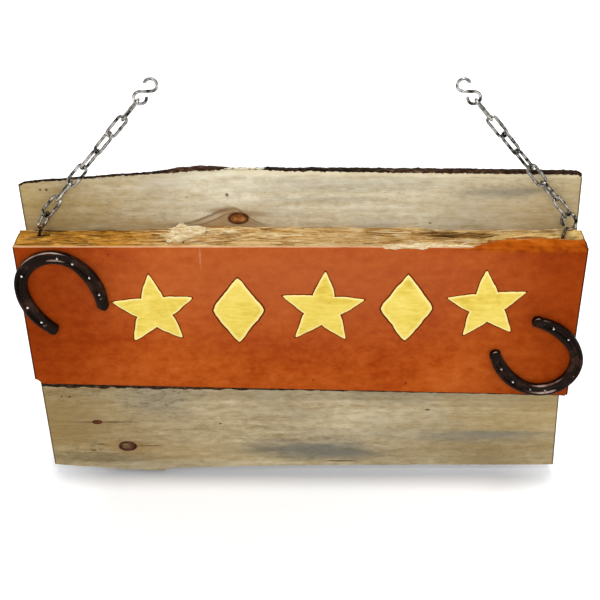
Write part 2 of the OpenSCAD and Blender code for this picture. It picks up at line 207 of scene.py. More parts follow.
# %% Finishes
class Finish:
    """A material and the few kinds of nodes that the finishes below are made of."""

    def __init__(self, name, metallic=0.0, specular=0.5):
        self.material = bpy.data.materials.new(name)
        self.material.use_nodes = True
        self.tree = self.material.node_tree
        self.shader = self.tree.nodes["Principled BSDF"]
        self.shader.inputs["Metallic"].default_value = metallic
        self.shader.inputs["Specular IOR Level"].default_value = specular
        coords = self.tree.nodes.new("ShaderNodeTexCoord")
        split = self.tree.nodes.new("ShaderNodeSeparateXYZ")
        self.tree.links.new(coords.outputs["Object"], split.inputs[0])
        self.x, self.y, self.z = (Field(self.tree, out) for out in split.outputs)

    def value(self, name):
        """A number that the piece stores per point."""
        made = self.tree.nodes.new("ShaderNodeAttribute")
        made.attribute_name = name
        return Field(self.tree, made.outputs["Fac"])

    def noise(self, x_scale, y_scale, z_scale, detail=4.0, roughness=0.55, distortion=0.0, z=None):
        """Noise with its own scale along each axis; z may be a bent height, as along a grain."""
        place = self.tree.nodes.new("ShaderNodeCombineXYZ")
        height = self.z if z is None else z
        for slot, value in zip(place.inputs, (self.x * x_scale, self.y * y_scale, height * z_scale)):
            feed(self.tree, slot, value)
        made = self.tree.nodes.new("ShaderNodeTexNoise")
        self.tree.links.new(place.outputs[0], made.inputs["Vector"])
        made.inputs["Scale"].default_value = 1.0
        made.inputs["Detail"].default_value = detail
        made.inputs["Roughness"].default_value = roughness
        made.inputs["Distortion"].default_value = distortion
        return Field(self.tree, made.outputs["Fac"])

    def ramp(self, field, *stops):
        """Colours along a field: each stop is a place on it and a screen colour."""
        made = self.tree.nodes.new("ShaderNodeValToRGB")
        feed(self.tree, made.inputs[0], field)
        keys = made.color_ramp.elements
        while len(keys) < len(stops):
            keys.new(0.5)
        for key, (place, colour) in zip(keys, stops):
            key.position = place
            key.color = linear(*colour)
        return made.outputs[0]

    def mix(self, share, first, second):
        """From the first colour to the second by a share."""
        made = self.tree.nodes.new("ShaderNodeMix")
        made.data_type = "RGBA"
        made.clamp_factor = True
        feed(self.tree, made.inputs["Factor"], share)
        colours = [slot for slot in made.inputs if slot.type == "RGBA"]
        feed(self.tree, colours[0], first)
        feed(self.tree, colours[1], second)
        return [out for out in made.outputs if out.type == "RGBA"][0]

    def bump(self, height, depth, below=None):
        """Fine relief of a depth in metres; below is relief that it lies on."""
        made = self.tree.nodes.new("ShaderNodeBump")
        made.inputs["Strength"].default_value = 1.0
        made.inputs["Distance"].default_value = depth
        feed(self.tree, made.inputs["Height"], height)
        if below is not None:
            self.tree.links.new(below, made.inputs["Normal"])
        return made.outputs[0]

    def spot(self, x, z, wide, high, edge, wobble=None):
        """1 inside an oval on the front, 0 outside it; places and sizes in millimetres."""
        across = (self.x - x * MM) * (1.0 / (wide * MM))
        up = (self.z - z * MM) * (1.0 / (high * MM))
        reach = (across * across + up * up).math("SQRT")
        if wobble is not None:
            reach = reach + wobble
        return reach.smooth(1.0 + edge, 1.0 - edge)

    def done(self, colour, roughness, normal=None):
        """Feeds the shader and hands over the material."""
        feed(self.tree, self.shader.inputs["Base Color"], colour)
        feed(self.tree, self.shader.inputs["Roughness"], roughness)
        if normal is not None:
            self.tree.links.new(normal, self.shader.inputs["Normal"])
        return self.material

# %% [markdown]
# ## Weathered pine
# The back planks are slabs of pine that have gone grey-tan outdoors. Flat-sawn boards show long grain
# lines that part round each knot, so the height that the grain reads is bent: near a knot it follows
# the square root of the squared height less the knot's own, which leaves an eye-shaped hole.

# %% Pine grain
def bent_grain(finish, knots):
    """Height along which the grain runs, parted round each knot."""
    height = finish.z + (finish.noise(2.2, 8.0, 5.0, 2.0) - 0.5) * 0.03
    for x, z, wide, high, heart in knots:
        across = (finish.x - x * MM) * (1.0 / (wide * 2.6 * MM))
        up = height - z * MM
        near = (across * across * -1.0).math("EXPONENT") * (high * 1.5 * MM)
        bulge = (up * up - near * near).math("MAXIMUM", 0.0).math("SQRT")
        height = bulge * up.math("SIGN") + z * MM
    return height

# %% [markdown]
# Stains, mould, specks and knots lie where the photograph shows them. Each is an oval whose edge is
# shaken by noise, mixed over the colour that is already there. A flame is the bell-shaped dark line that
# flat-sawn grain draws over a knot. Round each screw head at the back the wood has gone dark.

# %% Marks on the pine
HEAD_GAP = 15.0  # points of the back nearer than this belong to one screw head
HEAD_BACK = 28.5  # points behind this are on a head, not on a shank


def stained(finish, colour, stains, moulds):
    """Stains, and patches where mould grows in the pores."""
    wash = (finish.noise(22.0, 22.0, 110.0, 5.0, 0.68) - 0.5) * 1.7
    for x, z, wide, high, share, tint in stains:
        colour = finish.mix(finish.spot(x, z, wide, high, 0.85, wash) * share, colour, tint)
    mould = finish.noise(70.0, 70.0, 150.0, 5.0, 0.72).smooth(0.46, 0.66)
    for x, z, wide, high, share in moulds:
        patch = finish.spot(x, z, wide, high, 0.85, wash) * mould * share * 0.8
        colour = finish.mix(patch, colour, (100, 90, 64))
    return colour


def flamed(finish, colour, flames, streaks):
    """Bell-shaped grain lines, each with a warm tone under it."""
    shake = (finish.noise(50.0, 50.0, 60.0, 4.0, 0.65) - 0.5) * 0.005
    for x, wide, left, right, low, high in flames:
        aside = finish.x - x * MM
        side = aside.math("GREATER_THAN", 0.0)
        across = aside / (side * (right - left) * MM + left * MM)
        crest = (across * across * -1.0).math("EXPONENT") * ((high - low) * MM) + low * MM + shake
        above = finish.z - crest
        fade = across.math("ABSOLUTE").smooth(2.8, 0.6)
        under = above.smooth(0.0, -0.002) * finish.z.smooth((low - 9) * MM, low * MM) * fade * 0.4
        colour = finish.mix(under * (streaks + 0.4), colour, (160, 122, 78))
        line = above.math("ABSOLUTE").smooth(wide * MM, 0.0) * fade * (streaks * 1.5)
        colour = finish.mix(line, colour, (96, 64, 34))
    return colour


def knotted(finish, colour, knots, streaks, mottle):
    """Knots: a soft halo, a heart of two tones and a dark ring."""
    for x, z, wide, high, (core, edge) in knots:
        halo = finish.spot(x, z, wide * 2.1, high * 1.7, 0.7, (streaks - 0.5) * 1.6)
        colour = finish.mix(halo * 0.4, colour, (150, 112, 68))
        heart = finish.mix(mottle.smooth(0.4, 0.62), edge, core)
        colour = finish.mix(finish.spot(x, z, wide, high, 0.16, (mottle - 0.5) * 0.5), colour, heart)
        outer = finish.spot(x, z, wide * 1.06, high * 1.06, 0.12)
        inner = finish.spot(x, z, wide * 0.7, high * 0.7, 0.35)
        ring = (outer - inner).math("MAXIMUM", 0.0)
        colour = finish.mix(ring * 0.9, colour, (52, 26, 12))
    return colour


def screw_places(name):
    """Middles of the screw heads of a solid, in millimetres: its points on the back, taken in groups."""
    heads = [np.array(v.co) / MM for v in nodes[name].data.vertices if v.co.y > HEAD_BACK * MM]
    places = []
    while heads:
        group = [p for p in heads if np.linalg.norm(p - heads[0]) < HEAD_GAP]
        heads = [p for p in heads if np.linalg.norm(p - heads[0]) >= HEAD_GAP]
        low, high = np.min(group, axis=0), np.max(group, axis=0)
        places.append(((low[0] + high[0]) / 2, (low[2] + high[2]) / 2))
    return places


print("screw heads:", len(screw_places("upper_plank_screws")), "and", len(screw_places("lower_plank_screws")))

# %% [markdown]
# The finish itself goes from large to small: the tone of the grain, grey patches, the marks, the pale
# crest of the live edge, year rings round the pith on the sawn ends, and dark rims: lines near the ends and
# painted shade on faces that look down.

# %% Pine finish
def pine(name, pale, deep, grey, knots, stains, moulds, specks, flames, screws, pith):
    finish = Finish(name, specular=0.05)
    grain = bent_grain(finish, knots)
    clouds = finish.noise(6.0, 6.0, 13.0, 4.0, 0.62)
    streaks = finish.noise(8.0, 60.0, 170.0, 5.0, 0.62, z=grain)
    fibres = finish.noise(34.0, 300.0, 700.0, 3.0, 0.6, z=grain)
    mottle = finish.noise(60.0, 60.0, 130.0, 5.0, 0.72)
    rings = (grain * 330.0 + finish.noise(4.0, 10.0, 12.0, 2.0) * 9.0).math("SINE")
    tone = streaks * 0.26 + clouds * 0.34 + mottle * 0.4 + rings * 0.018 + (fibres - 0.5) * 0.2
    colour = finish.ramp(tone, (0.36, deep), (0.62, pale))
    patches = finish.noise(8.0, 8.0, 22.0, 4.0).smooth(0.48, 0.7)
    colour = finish.mix(patches * 0.5, colour, grey)
    colour = stained(finish, colour, stains, moulds)
    flecks = finish.noise(60.0, 260.0, 420.0, 2.0).smooth(0.68, 0.74) * 0.4
    colour = finish.mix(flecks, colour, (96, 78, 52))
    colour = flamed(finish, colour, flames, streaks)
    for x, z, wide, high in specks:
        speck = finish.spot(x, z, wide, high, 0.5, (mottle - 0.5) * 1.2)
        colour = finish.mix(speck * 0.8, colour, (56, 44, 30))
    colour = knotted(finish, colour, knots, streaks, mottle)
    behind = finish.y.smooth(0.027, 0.0285)
    for x, z in screw_places(screws):
        bruise = finish.spot(x, z, 7.5, 7.5, 0.35, (mottle - 0.5) * 0.8)
        colour = finish.mix(bruise * behind * 0.7, colour, (62, 44, 28))
    colour = finish.mix(finish.value("crest").smooth(0.2, 0.8) * 0.5, colour, (222, 208, 172))
    sawn = finish.value("sawn").smooth(0.3, 0.8)
    out, up = finish.y - 0.07, finish.z - pith * MM
    years = (out * out + up * up).math("SQRT") * 1900.0 + finish.noise(30.0, 30.0, 30.0, 3.0) * 5.0
    colour = finish.mix(sawn * years.math("SINE").smooth(-0.4, 1.0) * 0.6, colour, (112, 84, 50))
    # Dark lines near the ends, and painted shade on the faces that look down.
    rim = finish.value("rim").smooth(0.25, 0.85) * (sawn * -0.45 + 0.75)
    colour = finish.mix(rim, colour, (66, 52, 34))
    relief = finish.bump(streaks * 0.6 + fibres * 0.4, 0.0009)
    relief = finish.bump(mottle, 0.0005, relief)
    return finish.done(colour, streaks * 0.2 + 0.68, relief)


STAIN_GREY = (138, 131, 113)
STAIN_BLUE = (112, 112, 103)
STAIN_TAN = (160, 132, 74)
STAIN_BROWN = (140, 113, 62)

# %% [markdown]
# The marks are listed. An oval is its middle (x, z), half its width and half its height; a stain
# adds its strength and colour, a mould its strength. A knot adds the colours of its heart and edge. A
# flame is its middle, line width, reach to the left and right, and the heights of its foot and crest.

# %% Upper plank finish
upper_pine = pine(
    "upper_plank_pine", pale=(223, 214, 188), deep=(178, 160, 124), grey=(192, 185, 167),
    knots=[(-91, -196, 13.5, 8.5, ((182, 122, 66), (118, 66, 26)))],
    stains=[(-383, -180, 160, 70, 0.8, STAIN_TAN), (367, -170, 160, 60, 0.6, STAIN_TAN),
            (-200, -206, 130, 9, 0.4, STAIN_TAN), (267, -156, 52, 5, 0.75, STAIN_GREY),
            (250, -163, 40, 4, 0.4, STAIN_GREY), (60, -146, 120, 9, 0.35, STAIN_GREY),
            (20, -168, 60, 5, 0.35, STAIN_GREY), (-112, -185, 15, 4, 0.6, (118, 84, 46)),
            (-72, -189, 26, 3.5, 0.5, (120, 88, 50))],
    moulds=[(60, -175, 330, 42, 0.22), (-300, -172, 90, 34, 0.25), (300, -150, 90, 12, 0.35)],
    specks=[(-105, -161, 2.4, 2.4), (-350, -154, 1.5, 1.5), (-342, -154, 2.1, 1.9),
            (-158, -164, 1.0, 1.0), (165, -203, 2.0, 1.2)],
    flames=[(-98, 3.6, 42, 24, -206, -181), (-96, 2.2, 30, 18, -207, -187)],
    screws="upper_plank_screws", pith=-262)
print("pine finish:", upper_pine.name, len(upper_pine.node_tree.nodes), "nodes")

# %% Lower plank finish
lower_pine = pine(
    "lower_plank_pine", pale=(214, 198, 162), deep=(154, 132, 92), grey=(164, 155, 130),
    knots=[(-270, -584, 13, 9, ((132, 100, 70), (70, 42, 24))),
           (-312, -538, 7, 3.8, ((110, 66, 34), (64, 32, 14)))],
    stains=[(-390, -530, 110, 90, 0.75, STAIN_BROWN), (-270, -545, 130, 60, 0.4, STAIN_BROWN),
            (375, -520, 150, 80, 0.55, STAIN_TAN), (270, -592, 160, 32, 0.6, (136, 114, 70)),
            (-160, -598, 170, 18, 0.35, STAIN_TAN), (5, -590, 80, 15, 0.85, STAIN_BLUE),
            (50, -600, 60, 8, 0.6, STAIN_BLUE), (-219, -496, 46, 26, 0.5, STAIN_GREY),
            (263, -566, 90, 9, 0.6, STAIN_GREY), (290, -560, 60, 5, 0.5, STAIN_BLUE),
            (150, -560, 120, 10, 0.3, STAIN_GREY), (110, -484, 160, 12, 0.25, STAIN_GREY),
            (-330, -606, 90, 10, 0.6, (112, 98, 70))],
    moulds=[(-219, -492, 54, 30, 0.85), (-335, -486, 46, 12, 0.75), (-330, -602, 80, 16, 0.6),
            (-286, -582, 52, 14, 0.45), (-60, -556, 180, 22, 0.35), (10, -592, 100, 20, 0.45),
            (280, -588, 120, 30, 0.4), (-330, -540, 80, 60, 0.35), (120, -500, 240, 30, 0.2)],
    specks=[(-348, -491, 2.2, 1.6), (-360, -490, 1.4, 1.4), (181, -515, 3.6, 1.6),
            (-300, -538, 42, 1.1), (52, -613, 20, 1.2), (-310, -580, 5, 1.4),
            (-322, -592, 4, 1.2), (-240, -583, 20, 0.8), (-128, -541, 1.8, 1.6)],
    flames=[], screws="lower_plank_screws", pith=-498)
print("pine finish:", lower_pine.name, len(lower_pine.node_tree.nodes), "nodes")

# %% [markdown]
# ## Sawn boards
# Each board is a loft of rounded rectangles from its left end to its right end. The ends slope, so a
# point's place along the board depends on its height. Relief along the normals gives the planks their
# waves, and chips are cut by moving edge points inwards. A plain bevelled box would have none of that.

# %% Board sections
TOP = -212.22  # height of the front board's top edge
FACE = -34.0  # its painted face
BACK = 13.0  # its back, on which the planks lie
PLANK_BACK = 29.0
BOARD_LEFT = -383.0
BOARD_W = 750.0
BOARD_RIGHT = BOARD_LEFT + BOARD_W


def rounded_section(radius, front_steps, top_steps, back_steps=9, foot_steps=5, arc_steps=3):
    """Shares, offsets and normals of the points round one section, from the front's foot upwards."""
    rows = []
    def face(y, fractions, normal):
        for f in fractions:
            rows.append((y, 0.0, f, radius * (1.0 - 2.0 * f), normal, 0.0))
    def edge(z, fractions, normal):
        for f in fractions:
            rows.append((f, radius * (1.0 - 2.0 * f), z, 0.0, 0.0, normal))
    def corner(y, z, start):
        for step in range(1, arc_steps):
            a = math.radians(start + 90.0 * step / arc_steps)
            ny, nz = -math.cos(a), math.sin(a)
            rows.append((y, radius * ((1 - y) - y + ny), z, radius * ((1 - z) - z + nz), ny, nz))
    def spread(steps):
        return [(1.0 - math.cos(math.pi * i / (steps - 1))) / 2.0 for i in range(steps)]
    def level(steps):
        return [i / (steps - 1) for i in range(steps)]
    face(0, spread(front_steps), -1.0)
    corner(0, 1, 0)
    edge(1, level(top_steps), 1.0)
    corner(1, 1, 90)
    face(1, spread(back_steps)[::-1], 1.0)
    corner(1, 0, 180)
    edge(0, level(foot_steps)[::-1], -1.0)
    corner(0, 0, 270)
    return np.array(rows)


print("board:", BOARD_W, "x", BACK - FACE, "mm, planks", PLANK_BACK - BACK, "mm thick")

# %% Board rings
def board_rings(left, right, low, high, front, back, radius, length, count, section):
    """Rings of a board and their normals. left and right give x by height; low and high give z by x."""
    turns = [math.radians(a) for a in (0, 30, 60)]
    inset = [radius * (1 - math.sin(a)) for a in turns]
    shift = [radius * (1 - math.cos(a)) for a in turns]
    rounding = list(zip(shift, inset))
    stations = rounding + [(s, 0.0) for s in np.linspace(radius, length - radius, count)]
    stations += [(length - s, i) for s, i in reversed(rounding)]
    middle = 0.5 * (low(0) + high(0))
    rings, normals = [], []
    for along, inset_by in stations:
        share = along / length
        x = left(middle) * (1 - share) + right(middle) * share
        y = front + section[:, 0] * (back - front) + section[:, 1] - inset_by * section[:, 4]
        z = low(x) + section[:, 2] * (high(x) - low(x)) + section[:, 3] - inset_by * section[:, 5]
        xs = np.array([left(v) * (1 - share) + right(v) * share for v in z])
        rings.append(np.stack([xs, y, z], axis=1))
        side = inset_by / radius
        lean = -side if share < 0.5 else side
        normals.append(np.stack([np.full_like(y, lean), section[:, 4], section[:, 5]], axis=1))
    return np.array(rings), np.array(normals)


def rim_values(rings, normals, left, right):
    """1 near both ends and on faces that look down: a dark line near the ends, and painted shade on the
    underside.
    """
    x, z = rings[:, :, 0], rings[:, :, 2]
    inward = np.minimum(x - np.vectorize(left)(z), np.vectorize(right)(z) - x)
    return np.maximum(ease(inward, 4.2, 1.4), ease(-normals[:, :, 2], 0.2, 0.8)).reshape(-1)

# %% [markdown]
# Both planks are made alike: rings, a little relief pushed inwards, and three numbers per point for the
# finish. Where a plank lies on the board's back it stays flat, so that the two touch.

# %% Weathered plank
BOARD_H = 238.0  # height of the board's back, on which the planks lie
FLAT_PUSH = -0.05  # what is left of the relief there
PLANK_STEPS = 320  # rings along a plank


def weathered(rings, normals, seed):
    """Points of a plank after long waves and fine grain have been pushed in along the normals."""
    flat = rings.reshape(-1, 3)
    waves = roughs(flat, (0.006, 0.05, 0.06), 3, seed)
    grain = roughs(flat, (0.05, 0.3, 0.4), 3, seed + 4.0)
    push = 0.22 * waves + 0.12 * grain - 0.25
    on_board = (flat[:, 2] > TOP - BOARD_H) & (flat[:, 2] < TOP + 2)
    push[(flat[:, 1] < BACK + 0.5) & on_board] = FLAT_PUSH
    return flat + normals.reshape(-1, 3) * push[:, None]


def add_plank(name, solid, finish, points, rings, rim, crest):
    """A plank with the numbers that the pine finish reads."""
    piece = mesh_object(name, points, loft(rings)[1], finish)
    sawn = np.zeros(rings.shape[:2])
    sawn[[0, -1]] = 1.0
    set_values(piece, "rim", rim)
    set_values(piece, "sawn", sawn.reshape(-1))
    set_values(piece, "crest", crest)
    join_frame(piece, "sign", [solid])

# %% [markdown]
# ## Upper plank
# Its top is the live edge of the log: a gentle hump with a worn left corner and a sloping back. The
# grain lines of the pine finish part round the knot just above the painted board.

# %% Upper plank
SEAM = TOP - 157.0  # where the planks meet
UPPER_L = 746.0
UPPER_ROUND = 1.3  # radius of its edges
upper_top = straight([
    (-381, TOP + 58), (-377.5, TOP + 66.5), (-371, TOP + 70.5), (-300, TOP + 76.8), (-215, TOP + 83),
    (-178, TOP + 86.6), (-138, TOP + 89.6), (40, TOP + 87.4), (200, TOP + 85.8), (340, TOP + 84),
    (354, TOP + 83.4), (358.5, TOP + 81.6), (360.5, TOP + 78)])
upper_left = straight([(SEAM, BOARD_LEFT + 10), (TOP + 71, BOARD_LEFT + 4.5)])
upper_right = straight([(SEAM, BOARD_RIGHT + 3), (TOP + 87, BOARD_RIGHT - 7.5)])
back_slope = straight([(-378, 0.42), (-200, 0.42), (-170, 0.26), (350, 0.26)])


def live_top(x):
    return upper_top(x) + 0.8 * wander(x, 0.03, 4, 3.0) - 0.9


rings, normals = board_rings(upper_left, upper_right, lambda x: SEAM, live_top, BACK, PLANK_BACK,
                             UPPER_ROUND, UPPER_L, PLANK_STEPS, rounded_section(UPPER_ROUND, 26, 9))
points = weathered(rings, normals, 5.0)
below_top = points[:, 2] - np.array([live_top(x) for x in points[:, 0]])
slopes = np.array([back_slope(x) for x in points[:, 0]])
points[:, 2] -= ease(below_top, -14.0, -2.0) * (points[:, 1] - BACK) * slopes
crest = ease(below_top, -8.0, -4.5) * ease(points[:, 0], -150, -60)
rim = rim_values(rings, normals, upper_left, upper_right)
add_plank("upper_plank", "upper_back_plank", upper_pine, points, rings, rim, crest)

# %% [markdown]
# ## Lower plank
# The lower plank hangs well below the board. Its bottom edge bellies out on the left, with a chip just
# right of the lowest point, and it is darker and more stained than the upper one.

# %% Lower plank
LOWER_TOP = SEAM - 1.0
LOWER_L = 762.0
LOWER_ROUND = 1.2  # radius of its edges
lower_edge = straight([
    (-390, TOP - 408.6), (-370, TOP - 410.5), (-330, TOP - 413.5), (-286, TOP - 418.4),
    (-240, TOP - 420.2), (-221, TOP - 420.8), (-218, TOP - 416.8), (-163, TOP - 414.6),
    (-90, TOP - 412.4), (-9, TOP - 410.6), (120, TOP - 410.0), (145, TOP - 410.4),
    (168, TOP - 409.0), (200, TOP - 409.8), (375, TOP - 409.4)])
lower_left = straight([(TOP - 410, BOARD_LEFT - 1.9), (LOWER_TOP, BOARD_LEFT - 6.9)])
lower_right = straight([(TOP - 410, BOARD_RIGHT + 12.9), (LOWER_TOP, BOARD_RIGHT - 0.1)])


def worn_edge(x):
    return lower_edge(x) + 0.7 + 0.7 * wander(x, 0.05, 4, 21.0)


rings, normals = board_rings(lower_left, lower_right, worn_edge, lambda x: LOWER_TOP, BACK, PLANK_BACK,
                             LOWER_ROUND, LOWER_L, PLANK_STEPS, rounded_section(LOWER_ROUND, 24, 5))
points = weathered(rings, normals, 15.0)
rim = rim_values(rings, normals, lower_left, lower_right)
add_plank("lower_plank", "lower_back_plank", lower_pine, points, rings, rim, np.zeros(len(points)))

# %% [markdown]
# ## Bark on the live edge
# A dark crust of bark is left on the upper plank's sloping top: a thread on the left, a thick brown
# ragged stretch up to the hump, a bare gap, and a thin dark line to the right end. It is one loft whose
# thickness is noise: where that falls below nothing, the bark sinks under the wood, which then shows.

# %% Bark finish
def bark_finish():
    finish = Finish("bark", specular=0.04)
    flakes = finish.noise(130.0, 220.0, 340.0, 5.0, 0.72)
    patches = finish.noise(26.0, 30.0, 60.0, 3.0)
    tone = flakes * 0.75 + patches * 0.25
    black = finish.ramp(tone, (0.36, (14, 9, 6)), (0.52, (38, 27, 18)), (0.66, (112, 88, 62)))
    brown = finish.ramp(tone, (0.36, (28, 16, 10)), (0.52, (62, 40, 26)), (0.66, (128, 94, 66)))
    stretch = finish.x.smooth(-0.2, -0.17) * finish.x.smooth(-0.1, -0.125)
    right_end = finish.x.smooth(0.05, 0.2) * 0.7
    foot = finish.z.smooth(-0.3, -0.4) * 0.3
    colour = finish.mix(stretch + right_end + foot, black, brown)
    return finish.done(colour, 0.85, finish.bump(flakes, 0.0016))


bark_crust = bark_finish()
print("bark finish:", len(bark_crust.node_tree.nodes), "nodes")

# %% Bark strip
BARK_TOP = TOP + 94.7  # no bark stands higher than this
BARK_STEPS = 760
bark_cover = straight([
    (-376, 1.1), (-200, 1.1), (-180, 1.6), (-125, 1.7), (-112, 0.7), (-104, -0.4), (-62, -0.3),
    (-52, 0.7), (60, 1.3), (190, 1.7), (359, 1.5)])


def bark_ring(x):
    """One ring round the crust: its front lip, its top from front to back, and its hidden underside."""
    slope, top, cover = back_slope(x), live_top(x), bark_cover(x)
    crust = []
    for depth in np.linspace(0.0, 1.0, 9):
        y = BACK + 0.6 + depth * (PLANK_BACK - BACK - 1.2)
        lump = rough((x, y, 0), (0.1, 0.25, 0), 4, 37.0) + 0.6 * rough((x, y, 0), (0.33, 0.4, 0), 3, 39.0)
        crust.append((x, y, min(top - 0.2 - slope * (y - BACK) + cover + 0.9 * lump, BARK_TOP)))
    lip = max(0.0, cover * 0.8 + 0.9 * wander(x, 0.12, 4, 31.0) + 0.6 * wander(x, 0.4, 3, 33.0))
    front = [(x, BACK + 0.9, top - 1.2 - 1.7 * lip), (x, BACK + 0.25 - 0.35 * lip, top - 0.8 - 1.4 * lip),
             (x, BACK + 0.2 - 0.4 * lip, top - 0.35 + 0.3 * min(cover, 1.0))]
    under = [(x, PLANK_BACK - 1.2, crust[-1][2] - 1.6), (x, BACK + 4.0, top - 3.6 - 1.8 * lip)]
    return front + crust + under


bark_rings = [bark_ring(x) for x in np.linspace(-377.0, 358.6, BARK_STEPS)]
join_frame(mesh_object("live_edge_bark", *loft(bark_rings), bark_crust, 60), "sign")

# %% [markdown]
# ## Painted board
# The thick front board is painted rust orange on its face and ends, and its top is raw: split and
# splintered golden pine, with paint running on over a waney bevel at the right. One number per point
# says how much paint is there, and the finish breaks that border up with noise.

# %% Paint and raw wood
def rust_paint(finish, clouds, streaks, mottle, rim):
    """Cloudy rust-orange paint, paler in the middle, with painted shade deepening it towards the ends and
    painted light brightening it on the bevel, with specks and a scratch.
    """
    tone = clouds * 0.5 + streaks * 0.1 + mottle * 0.4
    paint = finish.ramp(tone, (0.38, (150, 56, 8)), (0.5, (170, 76, 20)), (0.62, (184, 92, 34)))
    middle = finish.spot(10, -262, 270, 80, 0.95)
    paint = finish.mix(middle * 0.5, paint, (170, 88, 50))
    # Painted shade: the paint darkens towards both ends of the board.
    shaded_ends = (finish.x + 0.008).math("ABSOLUTE").smooth(0.19, 0.37)
    paint = finish.mix(shaded_ends * 0.85, paint, finish.ramp(tone, (0.38, (122, 40, 1)), (0.62, (144, 53, 3))))
    specks = finish.noise(190.0, 190.0, 190.0, 2.0).smooth(0.7, 0.75) * 0.3
    paint = finish.mix(specks, paint, (96, 40, 12))
    for x, z, size in ((-371, -376, 1.9), (-260, -225, 1.4), (-62, -333, 1.4), (9.5, -427, 1.9),
                       (140, -432, 2.0)):
        paint = finish.mix(finish.spot(x, z, size, size, 0.5) * 0.6, paint, (80, 34, 14))
    shake = (finish.noise(90.0, 90.0, 260.0, 3.0) - 0.5) * 2.4
    paint = finish.mix(finish.spot(-140, -228, 1.2, 15, 0.6, shake) * 0.3, paint, (214, 150, 120))
    # Painted light: the paint on the top's bevel is a brighter copy, as if lit from above.
    bevel = finish.value("bevel").smooth(0.3, 0.8)
    lit_bevel_paint = finish.ramp(streaks * 0.5 + mottle * 0.5, (0.38, (126, 48, 2)), (0.54, (172, 82, 8)),
                              (0.66, (194, 104, 32)))
    paint = finish.mix(bevel * 0.85, paint, lit_bevel_paint)
    return finish.mix(rim * 0.8, paint, (44, 18, 6))


def raw_wood(finish, lengths, splits, rim):
    """Split pine: golden at the left, browner right of the middle, stained, torn or freshly broken, and
    darkened with painted shade in the crack along its back and round the flap.
    """
    blots = finish.noise(40.0, 90.0, 90.0, 4.0, 0.6)
    worn_wood = lengths * 0.4 + splits * 0.3 + blots * 0.3
    raw = finish.ramp(worn_wood, (0.36, (112, 78, 36)), (0.44, (190, 148, 88)), (0.52, (222, 190, 132)),
                      (0.62, (242, 226, 186)))
    gold = finish.ramp(worn_wood, (0.36, (100, 62, 18)), (0.46, (176, 118, 36)), (0.54, (204, 146, 56)),
                       (0.64, (230, 192, 112)))
    raw = finish.mix((finish.x * -1.0).smooth(0.12, 0.26), raw, gold)
    brown = finish.x.smooth(-0.1, 0.06) * finish.x.smooth(0.3, 0.22)
    raw = finish.mix(brown * 0.34, raw, (140, 102, 54))
    raw = finish.mix(finish.x.smooth(0.2, 0.28) * 0.4, raw, (232, 200, 116))
    raw = finish.mix(rim * 0.6, raw, (70, 50, 22))
    stained_by = (finish.value("stain") + (splits - 0.5) * 1.4).smooth(0.4, 0.8)
    stain_tone = finish.ramp(splits, (0.36, (96, 40, 10)), (0.62, (176, 92, 32)))
    raw = finish.mix(stained_by * 0.85, raw, stain_tone)
    # Painted shade: the crack along the back of the top and the flap's border are darkened like the torn
    # wood.
    torn_and_shade = (finish.value("torn_and_shade") + (splits - 0.5) * 1.3).smooth(0.42, 0.72)
    torn_and_shade_tone = finish.ramp(splits, (0.36, (52, 32, 14)), (0.62, (132, 96, 56)))
    raw = finish.mix(torn_and_shade * 0.9, raw, torn_and_shade_tone)
    fresh = (finish.value("fresh") + (splits - 0.5) * 0.6).smooth(0.4, 0.6)
    fresh_tone = finish.ramp(splits * 0.5 + blots * 0.5, (0.36, (176, 140, 88)), (0.48, (226, 202, 152)),
                             (0.6, (246, 236, 206)))
    return finish.mix(fresh, raw, fresh_tone)

# %% Board finish
def board_finish():
    finish = Finish("painted_board", specular=0.02)
    grain = finish.z + (finish.noise(1.6, 6.0, 4.0, 2.0) - 0.5) * 0.02
    clouds = finish.noise(4.0, 4.0, 6.5, 4.0, 0.62)
    streaks = finish.noise(6.0, 50.0, 110.0, 4.0, 0.6, z=grain)
    fibres = finish.noise(16.0, 300.0, 620.0, 3.0, 0.6, z=grain)
    mottle = finish.noise(70.0, 70.0, 90.0, 4.0, 0.65)
    lengths = finish.noise(26.0, 130.0, 80.0, 5.0, 0.66)
    splits = finish.noise(60.0, 420.0, 420.0, 4.0, 0.7)
    # The rim value darkens paint and raw wood near the ends, and as painted shade the faces that look down.
    rim = finish.value("rim").smooth(0.3, 0.9)
    paint = rust_paint(finish, clouds, streaks, mottle, rim)
    raw = raw_wood(finish, lengths, splits, rim)
    ragged = (finish.noise(70.0, 220.0, 220.0, 5.0, 0.65) - 0.5) * 0.8
    painted = (finish.value("paint") + ragged).smooth(0.44, 0.56)
    colour = finish.mix(painted, raw, paint)
    worn = finish.value("wear") + (finish.noise(50.0, 90.0, 90.0, 4.0) - 0.5) * 1.1
    colour = finish.mix(worn.smooth(0.4, 0.9) * 0.65, colour, (230, 182, 136))
    relief = finish.bump(streaks * 0.4 + fibres * 0.4 + mottle * 0.2, 0.0006)
    rough_wood = painted * -0.94 + 1.0
    relief = finish.bump((splits * 0.5 + lengths * 0.5) * rough_wood, 0.006, relief)
    relief = finish.bump(finish.noise(700.0, 700.0, 700.0, 2.0), 0.0001, relief)
    return finish.done(colour, (painted * -0.16 + 0.74) + (clouds - 0.5) * 0.12, relief)


painted_board_finish = board_finish()
print("board finish:", len(painted_board_finish.node_tree.nodes), "nodes")

# %% [markdown]
# The board's own shape carries the damage. Outlines drawn on the top, in millimetres, mark a pale torn
# flap left of the middle, a dark pocket of broken fibres on the right, a strip torn off the front edge
# and the border up to which the bevel is painted. Noise shakes their borders.

